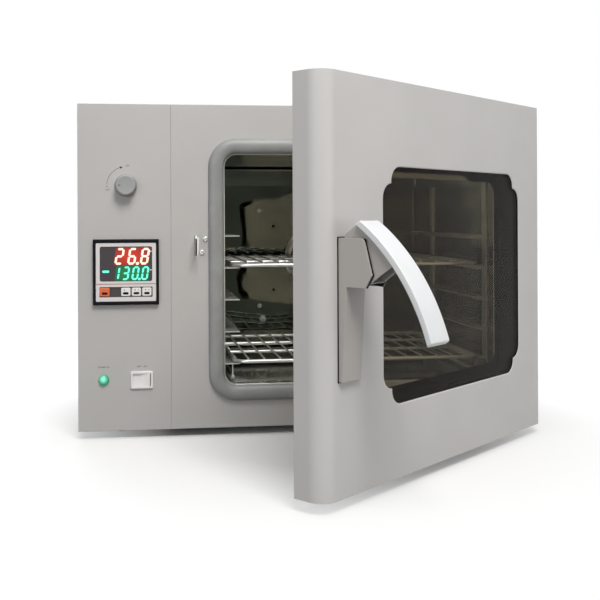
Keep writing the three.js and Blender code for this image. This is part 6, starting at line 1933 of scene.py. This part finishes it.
@dataclass(frozen=True)
class SwitchAndLamp(Assembly):
    """The rocker switch, the signal lamp and their labels."""

    x: float = SIZES.switch_x
    z: float = SIZES.switch_z
    width: float = 33
    height: float = 25.4
    pocket_width: float = 27.76
    pocket_height: float = 19.2
    rocker_y: float = 4
    rocker_angle: float = -8
    lamp_x: float = SIZES.lamp_x
    lamp_z: float = SIZES.lamp_z
    lamp_radius: float = 7.8
    label_rise: float = 19.5
    switch_words: float = 2.3
    lamp_words: float = 2.2

    def build(self) -> None:
        """Builds the switch, the lamp and the labels."""
        self.make("switch_bezel", self._frame(), Paints.WHITE, Edges(50), "switch_frame")
        rocker = self.space.turned("rocker", (self.x, self.rocker_y, 0), "Z", self.rocker_angle)
        self.make("paddle", self._paddle(), Paints.WHITE, Edges(35, rounding=0.5), "switch_rocker", rocker)
        self._lamp()
        z = self.z + self.label_rise
        self.make("switch_label", lettering("OFF    ON", self.x, z, 0, self.switch_words), Paints.PRINT)
        self.make("lamp_label", lettering("POWER ON", self.lamp_x, z, 0, self.lamp_words), Paints.PRINT)

    def _frame(self) -> Shape:
        """The switch's frame: rolled outside, a pocket inside, and its body behind the panel.

        Returns:
            The frame with its body and floor.
        """
        outer = Rect.around(self.x, self.z, self.width, self.height)
        pocket = Rect.around(self.x, self.z, self.pocket_width, self.pocket_height)
        front, back, roll, depth = -3.3, -SIZES.gap, 1.1, 12
        ledge, ledge_y, wall, floor, overlap = 0.9, -0.6, 2.2, 3, 0.5
        outer_corner, rim_corner, corner, inner_corner = 2, 1.4, 1.2, 0.8
        rim, lead, lead_depth = 0.2, 0.6, 0.4
        rings = [at_depth(outer.outline(outer_corner, 6), back)]
        for t in quarter(6):
            rolled = outer.grown(-roll * (1 - math.cos(t))).outline(outer_corner, 6)
            rings.append(at_depth(rolled, front + roll * (1 - math.sin(t))))
        narrow = Rect(pocket.left + ledge, pocket.right - ledge, pocket.bottom, pocket.top)
        body = Rect.around(self.x, self.z, self.pocket_width + wall, self.pocket_height + wall)
        inner = at_depth(narrow.outline(inner_corner, 6), depth)
        rings.append(at_depth(pocket.grown(-rim).outline(rim_corner, 6), front))
        rings.append(at_depth(pocket.grown(-lead).outline(corner, 6), front + lead_depth))
        rings.append(at_depth(pocket.outline(corner, 6), ledge_y))
        rings.append(at_depth(narrow.outline(inner_corner, 6), ledge_y))
        rings.append(inner)
        rings += [at_depth(body.outline(corner, 6), y) for y in (depth, back)]
        tube = Shape.grid(np.stack(rings), closed=True)
        bottom = Shape.plate([inner[:, [0, 2]]], depth - overlap, depth + floor)
        return Shape.joined([tube, bottom])

    def _paddle(self) -> Shape:
        """The paddle, drawn from above: its face dips towards its middle.

        At the share s of the half width the face lies waist + (front - waist) s to the power 1.4 before
        the pivot.

        Returns:
            The closed paddle.
        """
        half, front, waist, cheek, foot, root = 12.8, 6.5, 5, 3, 6, 5
        share = np.linspace(-1, 1, 25)
        face = np.column_stack([half * share, -(waist + (front - waist) * abs(share) ** 1.4)])
        back = np.array([[half, -cheek], [foot, root], [-foot, root], [-half, -cheek]])
        plan = np.concatenate([face, back]) + (self.x, self.rocker_y)
        reach = self.pocket_height / 2 - SIZES.gap
        rings = [at_height(plan, z) for z in (self.z - reach, self.z + reach)]
        return Shape.grid(np.stack(rings))

    def _lamp(self) -> None:
        """The lamp: a domed green lens on a thin rim, with a stem into its socket."""
        radius, rim, dome, stem, end = self.lamp_radius, -1.7, 4.6, 5, 9
        turn = quarter(12)
        cap = np.column_stack([radius * np.sin(turn), rim - dome * np.cos(turn)])
        profile = np.concatenate([cap, [[radius, -SIZES.gap], [stem, -SIZES.gap], [stem, end], [0, end]]])
        lens = Shape.turned(profile, (self.lamp_x, 0, self.lamp_z), Axis.Y, 56)
        left, up, spread, depth, strength = 0.5, 1.5, 7.2, 12, 0.62
        spot = [self.lamp_x - left, rim - dome, self.lamp_z + up]
        centre = tuple(self.space.carry(np.array([spot]))[0])
        reach = tuple(value * METRES for value in (spread, depth, spread))
        core, edge = linear(150, 255, 226), linear(0, 150, 98)
        glow = Glow("lit lamp green", "lamp_green", core, centre, reach, edge, strength)
        self.make("lamp", lens, glow, Edges(50), "lamp_lens")


@dataclass(frozen=True)
class Door(Assembly):
    """The door: pressed skin, glazed window, inner panel and hinges."""

    hinge_x: float = 666
    hinge_y: float = -14
    angle: float = 40
    rect: Rect = Rect(138, 673.9, 2, 474)
    face: float = -49
    back: float = -7
    wrap: float = 22
    window_z: float = 231
    tall_width: float = 308
    tall_height: float = 282
    wide_width: float = 343
    wide_height: float = 242
    window_corner: float = 18
    glass: float = 4
    glass_margin: float = 9
    slot: Rect = Rect(177.2, 185.8, 241.9, 268.9)
    slot_corner: float = 1.5

    def place(self) -> Place:
        """The door's drawing space: shut in the drawing, and turned open about the hinges."""
        return self.space.turned("door", (self.hinge_x, self.hinge_y, 0), "Z", self.angle)

    def build(self) -> None:
        """Builds the door's pieces."""
        door, copy = self.place(), self.shop.copy
        edges = Edges(35, rounding=0.7, steps=3, sheet=SIZES.sheet)
        self.make("door_shell", self._shell(), Paints.DOOR, edges, "door_skin", door)
        self._glazing(door)
        copy("door_lining", "door_inner_panel", "door", Paints.STEEL.value, Edges(30, rounding=0.35))
        for end in ("top", "bottom"):
            plate, bush = f"hinge_bracket_{end}", f"hinge_bush_{end}"
            copy(f"hinge_plate_{end}", plate, "cabinet", Paints.ZINC.value, Edges(30, rounding=0.3))
            copy(f"bush_{end}", bush, "door", Paints.WHITE.value, Edges(50, rounding=0.15))

    def _window(self, grown: float = 0) -> Array:
        """The window's outline: a tall and a wide rectangle laid over each other, each with round corners.

        In the first quarter the wide one's corner arc runs until it meets the tall one's side, and then
        the tall one's arc follows. The other quarters mirror the first.

        Args:
            grown: How far the outline is moved out.

        Returns:
            Rows of x, z round the window.
        """
        radius = self.window_corner + grown
        wide = np.array([self.wide_width, self.wide_height]) / 2 - self.window_corner
        tall = np.array([self.tall_width, self.tall_height]) / 2 - self.window_corner
        meet = math.acos(np.clip((tall[0] + radius - wide[0]) / radius, -1, 1))
        low, high = np.linspace(0, meet, 13), quarter(12)
        first = np.column_stack([wide[0] + radius * np.cos(low), wide[1] + radius * np.sin(low)])
        second = np.column_stack([tall[0] + radius * np.cos(high), tall[1] + radius * np.sin(high)])
        corner = np.concatenate([first, second])
        back = corner[::-1]
        ring = [corner, back * (-1, 1), corner * (-1, -1), back * (1, -1)]
        return np.concatenate(ring) + (SIZES.fan_x, self.window_z)

    def _plan(self) -> Array:
        """The skin seen from above, from its right rear edge round the front to its left rear edge.

        Returns:
            Rows of x, y along the skin.
        """
        turn = quarter(14)
        right, left = self.rect.right - self.wrap, self.rect.left + self.wrap
        middle = self.face + self.wrap
        east = np.column_stack([right + self.wrap * np.cos(turn), middle - self.wrap * np.sin(turn)])
        west = np.column_stack([left - self.wrap * np.sin(turn), middle - self.wrap * np.cos(turn)])
        return np.concatenate([[[self.rect.right, self.back]], east, west, [[self.rect.left, self.back]]])

    def _shell(self) -> Shape:
        """The pressed skin: a flat front with rolled window edges, wrapped sides, and a top and a floor.

        The window's edge rolls in: going round it by an angle t, the outline shrinks by lip (1 - sin t)
        from its widest and lies dip (1 - cos t) behind the face.

        Returns:
            The open surface, which gets its sheet thickness inwards.
        """
        lip, dip = 2.0, 0.9
        plan = self._plan()
        half = len(plan) // 2
        front = Rect(plan[half, 0], plan[half - 1, 0], self.rect.bottom, self.rect.top)
        edge = [[front.right, front.bottom], [front.right, front.top], [front.left, front.top]]
        border = np.array([*edge, [front.left, front.bottom]])
        loops = [border, self._window(lip), self.slot.outline(self.slot_corner, 4)]
        face = Shape(at_depth(np.concatenate(loops), self.face), Shape.flat(loops).faces)
        rims = [
            at_depth(self._window(lip * (1 - math.sin(t))), self.face + dip * (1 - math.cos(t)))
            for t in quarter(6)
        ]
        roll = Shape.grid(np.stack(rims), caps=False)
        ends = (self.rect.bottom, self.rect.top)
        sides = [
            Shape.grid(np.stack([at_height(part, z) for z in ends]), False, False, False)
            for part in (plan[:half], plan[half:])
        ]
        lids = [Shape(at_height(plan, z), Shape.flat([plan]).faces) for z in ends]
        return Shape.joined([face, roll, *sides, *lids])

    def _glazing(self, door: Place) -> None:
        """Two panes with ground edges, and the channel ring that holds them apart.

        Args:
            door: The door's drawing space.
        """
        corner, gap, sheet, margin = self.window_corner, SIZES.gap, SIZES.sheet, self.glass_margin
        pane = Rect.around(SIZES.fan_x, self.window_z, self.wide_width, self.tall_height).grown(margin)
        reach, grip, web, recess = 4, -3, -1.5, 4.8
        outer = self.face + sheet + gap
        inner = self.back - recess
        for name, front in (("outer", outer), ("inner", inner - self.glass)):
            glass = Shape.plate([pane.outline(corner, 10)], front, front + self.glass)
            self.make(f"pane_{name}", glass, Paints.GLASS, Edges(35, rounding=0.5), f"{name}_glass", door)
        near, far = outer + self.glass + gap, inner - self.glass - gap
        section = [(grip, near), (reach, near), (reach, near + sheet), (web, near + sheet)]
        section += [(web, far - sheet), (reach, far - sheet), (reach, far), (grip, far)]
        rings = [at_depth(pane.grown(o).outline(corner + o, 10), y) for o, y in section]
        channel = Shape.grid(np.stack(rings), closed=True)
        self.make("window_channel", channel, Paints.BLACK, Edges(35, rounding=0.4), "window_frame", door)


@dataclass(frozen=True)
class Handle(Assembly):
    """The pull lever on the door: block, arm, bar, claw pin and the pin that it turns on.

    Attributes:
        plate: The outline of the black plates inside the block's cheeks, which paint the shade in the gap
            beside the arm, as rows of distance before the door and height.
    """

    x: float = 181.5
    width: float = 35
    pivot_y: float = -57
    pivot_z: float = 259.5
    pull: float = 35.3
    bar_top: float = 290
    bar_bottom: float = 135
    bar_outer: float = 54
    bar_bow: float = 13
    thick_top: float = 8
    thick_bottom: float = 7.2
    corner: float = 1.3
    crown: float = 2.6
    end_ease: float = 1.6
    arm_slimming_share: float = 0.13
    door_face: float = -49
    surround_bottom: float = 132
    surround_depth: float = 1
    surround_inner: float = 0.05
    surround_outer: float = 1.2
    plate: tuple[tuple[float, float], ...] = (
        (20, 289.2), (35, 289.2), (45.5, 250.3), (37.2, 236.2), (20, 239)
    )
    pin_radius: float = 3
    claw_y: float = 45
    claw_z: float = 8.5

    def build(self) -> None:
        """Builds the handle's pieces."""
        lever = self.space.turned("lever", (0, self.pivot_y, self.pivot_z), "X", -self.pull)
        coat, copy = Paints.HANDLE.value, self.shop.copy
        copy("handle_block", "handle_base", "door", coat, Edges(25, rounding=0.9, steps=4))
        arm = Edges(25, rounding=0.6, steps=3)
        copy("lever_link", "lever_arm", "lever", coat, arm, lambda points: self._slim(points, lever))
        self._trims()
        self.make("grip", self._grip(), Paints.LEVER, Edges(60), "lever_bar", lever)
        cheek, proud, claw_left, claw_right = 2.5, 1.2, 14, 2.3
        reach = self.width / 2 - cheek + proud
        ends = [(self.x + way * reach, self.pivot_y, self.pivot_z) for way in (-1, 1)]
        pin = Shape.rod(*ends, self.pin_radius, 32)
        self.make("pivot_pin", pin, Paints.BRIGHT, Edges(50), "handle_pin")
        y, z = self.pivot_y + self.claw_y, self.pivot_z + self.claw_z
        claw = Shape.rod((self.x - claw_left, y, z), (self.x + claw_right, y, z), self.pin_radius, 32)
        self.make("claw_pin", claw, Paints.BRIGHT, Edges(50), "latch_pin", lever)

    def _trims(self) -> None:
        """Black pieces that paint shade: a rim on the door round the handle's base, which paints the shadow
        line of the gap there, and a plate inside each of the block's cheeks, which paints the shade in the
        gap beside the arm.
        """
        half, corner, film, near, far, sheet = self.width / 2, 0.4, 0.03, 2.6, 3.6, 1
        # A black rim, a little wider than the handle's base, like a dark underlay: it paints the shadow line
        # of the gap round the base.
        surround = Rect(self.x - half, self.x + half, self.surround_bottom, self.bar_top)
        growths = (self.surround_outer, self.surround_inner)
        loops = [surround.grown(by).outline(corner, 2) for by in growths]
        rim = Shape.plate(loops, self.door_face - self.surround_depth, self.door_face - film)
        self.make("handle_shadow_rim", rim, Paints.BLACK, Edges(35, rounding=0.2))
        side = np.array([(self.door_face - before, height) for before, height in self.plate])
        # A black plate inside each cheek paints the shade in the gap between the block and the arm.
        for way, start in (("left", near - half), ("right", half - far)):
            plate = Shape.plate([side], self.x + start, self.x + start + sheet)
            plate = Shape(plate.points[:, [1, 0, 2]], plate.faces)
            self.make(f"cheek_shade_plate_{way}", plate, Paints.BLACK, Edges(35, rounding=0.2))

    def _slim(self, points: Array, lever: Place) -> Array:
        """Narrows the arm towards its middle plane, so that a dark gap shows between the block's cheeks.

        Each point moves towards the plane by a share of its distance from it.

        Args:
            points: The arm's points in the frame.
            lever: The lever's drawing space.

        Returns:
            The moved points.
        """
        middle, beside = lever.carry(np.array([[self.x, 0, 0], [self.x + 1, 0, 0]], float))
        across = (beside - middle) / np.linalg.norm(beside - middle)
        distance = (points - middle) @ across
        return points - self.arm_slimming_share * distance[:, None] * across

    def _grip(self) -> Shape:
        """The bar: a bowed strip with rounded edges and a slightly crowned top end.

        At the share s of its half length from the middle, its outer face lies outer + bow (1 - s
        squared) before the door. Its section is a rectangle with round corners; towards each end the
        section shrinks along a quarter circle, and the top end stands back by crown times the square
        of the distance from the middle line over the half width.

        Returns:
            The closed bar.
        """
        half, ease, low, high = self.width / 2, self.end_ease, self.bar_bottom, self.bar_top
        rows = [(low + ease - step, inset) for inset, step in self._ends()]
        rows += [(height, 0.0) for height in np.linspace(low + ease, high - ease, 41)]
        rows += [(high - ease + step, inset) for inset, step in self._ends()[::-1]]
        rings = []
        for height, inset in rows:
            share = np.clip((height - low) / (high - low), 0, 1)
            outer = self.bar_outer + self.bar_bow * (1 - (2 * share - 1) ** 2)
            thick = self.thick_bottom + (self.thick_top - self.thick_bottom) * share
            section = Rect(-half, half, outer - thick, outer).grown(-inset).outline(self.corner, 6)
            fall = share**12 * self.crown * (section[:, 0] / half) ** 2
            rows_y = self.door_face - section[:, 1]
            rings.append(np.column_stack([self.x + section[:, 0], rows_y, height - fall]))
        return Shape.grid(np.stack(rings))

    def _ends(self) -> list[tuple[float, float]]:
        """Inset and reach of the rows that round off an end, from its tip inwards."""
        ease = self.end_ease
        return [(ease * (1 - math.sin(t)), ease * math.cos(t)) for t in quarter(5)]


def background_rays(tree: bpy.types.NodeTree) -> Socket:
    """Tells which rays see the background: the camera's, those off metal and those through glass.

    Args:
        tree: The node tree that asks.

    Returns:
        A socket that is one for such a ray and zero for any other.
    """
    ray = tree.nodes.new("ShaderNodeLightPath").outputs
    seen = ray["Is Camera Ray"]
    for kind in ("Is Glossy Ray", "Is Transmission Ray"):
        wider = tree.nodes.new("ShaderNodeMath")
        wider.operation = "MAXIMUM"
        tree.links.new(seen, wider.inputs[0])
        tree.links.new(ray[kind], wider.inputs[1])
        seen = wider.outputs[0]
    return seen


@dataclass(frozen=True)
class Studio:
    """Camera, floor and lights.

    Attributes:
        eye: Where the camera stands, in drawing millimetres.
        yaw, pitch, roll: Its angles in degrees.
        focal: Its focal length in pixels of a picture of the given size.
        centre: The picture's point that it looks at straight on, in pixels.
        aim: Where the lamps point, in drawing millimetres.
        lamps: Name, place in drawing millimetres, side in metres, watts and colour of each lamp.
    """

    eye: tuple[float, float, float] = (85.3, -1317.1, 314.0)
    yaw: float = 6.65
    pitch: float = 0.09
    roll: float = -0.238
    focal: float = 889.1
    centre: tuple[float, float] = (240.0, 214.9)
    picture: float = 600
    floor_size: float = 6.0
    fade_near: float = 0.2
    fade_far: float = 0.5
    floor_bounce: Colour = (0.25, 0.25, 0.25)
    fill: Colour = (0.21, 0.21, 0.21)
    aim: tuple[float, float, float] = (337, 0, 240)
    lamps: tuple[tuple, ...] = (
        ("key", (450, -1500, 2000), 0.9, 38.5, (1.0, 0.985, 0.965)),
        ("left", (-1100, -2200, 700), 1.2, 9, (0.97, 0.985, 1.0)),
        ("right", (1700, -1400, 80), 1.0, 7, (1.0, 1.0, 1.0)),
        ("top", (300, -200, 2300), 1.2, 9, (1.0, 1.0, 1.0)),
        ("back", (-300, 2500, 1300), 1.2, 26, (1.0, 1.0, 1.0)),
    )

    def build(self, cabinet: Place) -> None:
        """Sets up everything round the oven.

        Args:
            cabinet: The cabinet's drawing space.
        """
        self._camera(cabinet)
        self._floor()
        self._sky()
        for lamp in self.lamps:
            self._lamp(cabinet, *lamp)

    def _camera(self, cabinet: Place) -> None:
        """The camera, at the place and angle worked out from the photograph's straight edges.

        Args:
            cabinet: The cabinet's drawing space.
        """
        yaw, pitch, roll = (math.radians(value) for value in (self.yaw, self.pitch, self.roll))
        ahead = np.array([math.sin(yaw) * math.cos(pitch), math.cos(yaw) * math.cos(pitch), math.sin(pitch)])
        right = np.array([math.cos(yaw), -math.sin(yaw), 0])
        up = np.cross(right, ahead)
        tilted = math.cos(roll) * right + math.sin(roll) * up
        raised = -math.sin(roll) * right + math.cos(roll) * up
        matrix = np.eye(4)
        matrix[:3, :3] = np.column_stack([tilted, raised, -ahead])
        matrix[:3, 3] = cabinet.carry(np.array([self.eye]))[0]
        data = bpy.data.cameras.new("camera")
        data.angle = 2 * math.atan(self.picture / 2 / self.focal)
        data.shift_x = (self.picture / 2 - self.centre[0]) / self.picture
        data.shift_y = (self.centre[1] - self.picture / 2) / self.picture
        camera = bpy.data.objects.new("camera", data)
        camera.matrix_world = Matrix(matrix.tolist())
        bpy.context.scene.collection.objects.link(camera)
        bpy.context.scene.camera = camera

    def _floor(self) -> None:
        """A pale floor, far larger than the oven.

        Near the oven it is lit and keeps the shadow. With the distance from it, it fades to the
        background's white, and it sends little light back up.
        """
        mesh = bpy.data.meshes.new("floor")
        size = self.floor_size
        corners = [(-size, -size, 0), (size, -size, 0), (size, size, 0), (-size, size, 0)]
        mesh.from_pydata(corners, [], [(0, 1, 2, 3)])
        graph = Graph("studio floor")
        soft = graph.noise(graph.place(), 3, 2)
        pale = graph.mix(soft, (0.93, 0.93, 0.93), (0.95, 0.95, 0.95))
        distant = graph.remap(graph.length(graph.place()), (self.fade_near, self.fade_far), (0, 1))
        shown = graph.product(distant, background_rays(graph.tree))
        ray = graph.tree.nodes.new("ShaderNodeLightPath")
        base = graph.mix(ray.outputs["Is Diffuse Ray"], pale, self.floor_bounce)
        graph.feed("Base Color", graph.mix(shown, base, (0.0, 0.0, 0.0)))
        graph.feed("Emission Strength", shown)
        graph.set(Roughness=0.8, Specular_IOR_Level=0.1, Emission_Color=(1, 1, 1, 1))
        mesh.materials.append(graph.material)
        floor = bpy.data.objects.new("floor", mesh)
        bpy.context.scene.collection.objects.link(floor)

    def _sky(self) -> None:
        """A soft grey surround, white where the background shows, also in metal and through glass."""
        world = bpy.data.worlds.new("surround")
        bpy.context.scene.world = world
        world.use_nodes = True
        tree = world.node_tree
        tone = tree.nodes.new("ShaderNodeMix")
        tone.data_type = "RGBA"
        factor, dark, light = (tone.inputs[number] for number in (0, 6, 7))
        tree.links.new(background_rays(tree), factor)
        dark.default_value = (*self.fill, 1)
        light.default_value = (1, 1, 1, 1)
        tree.links.new(tone.outputs[2], tree.nodes["Background"].inputs["Color"])
        bpy.context.scene.view_settings.view_transform = "Standard"

    def _lamp(
        self, cabinet: Place, name: str, spot: Sequence[float], size: float, power: float, colour: Colour
    ) -> None:
        """One soft box, aimed at the oven's middle.

        Args:
            cabinet: The drawing space of its place.
            name: The lamp's name.
            spot: Where it hangs, in drawing millimetres.
            size: The side of its square in metres.
            power: Its power in watts.
            colour: Its light's colour.
        """
        data = bpy.data.lights.new(name, "AREA")
        data.shape = "SQUARE"
        data.size = size
        data.energy = power
        data.color = colour
        lamp = bpy.data.objects.new(name, data)
        start, aim = (Vector(cabinet.carry(np.array([point], float))[0]) for point in (spot, self.aim))
        lamp.location = start
        lamp.rotation_euler = (aim - start).to_track_quat("-Z", "Y").to_euler()
        bpy.context.scene.collection.objects.link(lamp)


def dress_the_rest(shop: Shop, record: dict) -> None:
    """Gives every CAD node that still shows the finish of its slot.

    Args:
        shop: The maker, which knows the nodes.
        record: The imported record.
    """
    plain = {
        "galvanised": Paints.ZINC,
        "mineral_wool": Paints.WOOL,
        "heater_steel": Paints.HEATER,
        "motor_grey": Paints.MOTOR,
        "stainless": Paints.RUNNER,
        "bright_metal": Paints.BRIGHT,
        "dark_plastic": Paints.BLACK,
    }
    slots = {part["node"]: part["material_slot"] for part in record["subparts"]}
    for name, node in shop.nodes.items():
        if node.hide_render:
            continue
        finish = plain[slots[name]].value
        node.data.materials.clear()
        node.data.materials.append(finish.material())
        log.info("%s keeps its shape, finished in %s", name, finish.name)


def main() -> None:
    """Builds the oven in its frame."""
    logging.basicConfig(level=logging.INFO, format="%(name)s: %(message)s")
    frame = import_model()
    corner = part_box("control_panel")[0]
    matrix = np.diag([METRES, METRES, METRES, 1.0])
    matrix[:3, 3] = corner
    cabinet = Place(matrix, "cabinet")
    shop = Shop(frame)
    for assembly in (Casing, Front, Chamber, Racks, Vent, Controller, SwitchAndLamp):
        assembly(shop, cabinet).build()
    door = Door(shop, cabinet)
    door.build()
    Handle(shop, door.place()).build()
    dress_the_rest(shop, frame["record"])
    Studio().build(cabinet)
    bpy.context.view_layer.update()


if __name__ == "__main__":
    main()
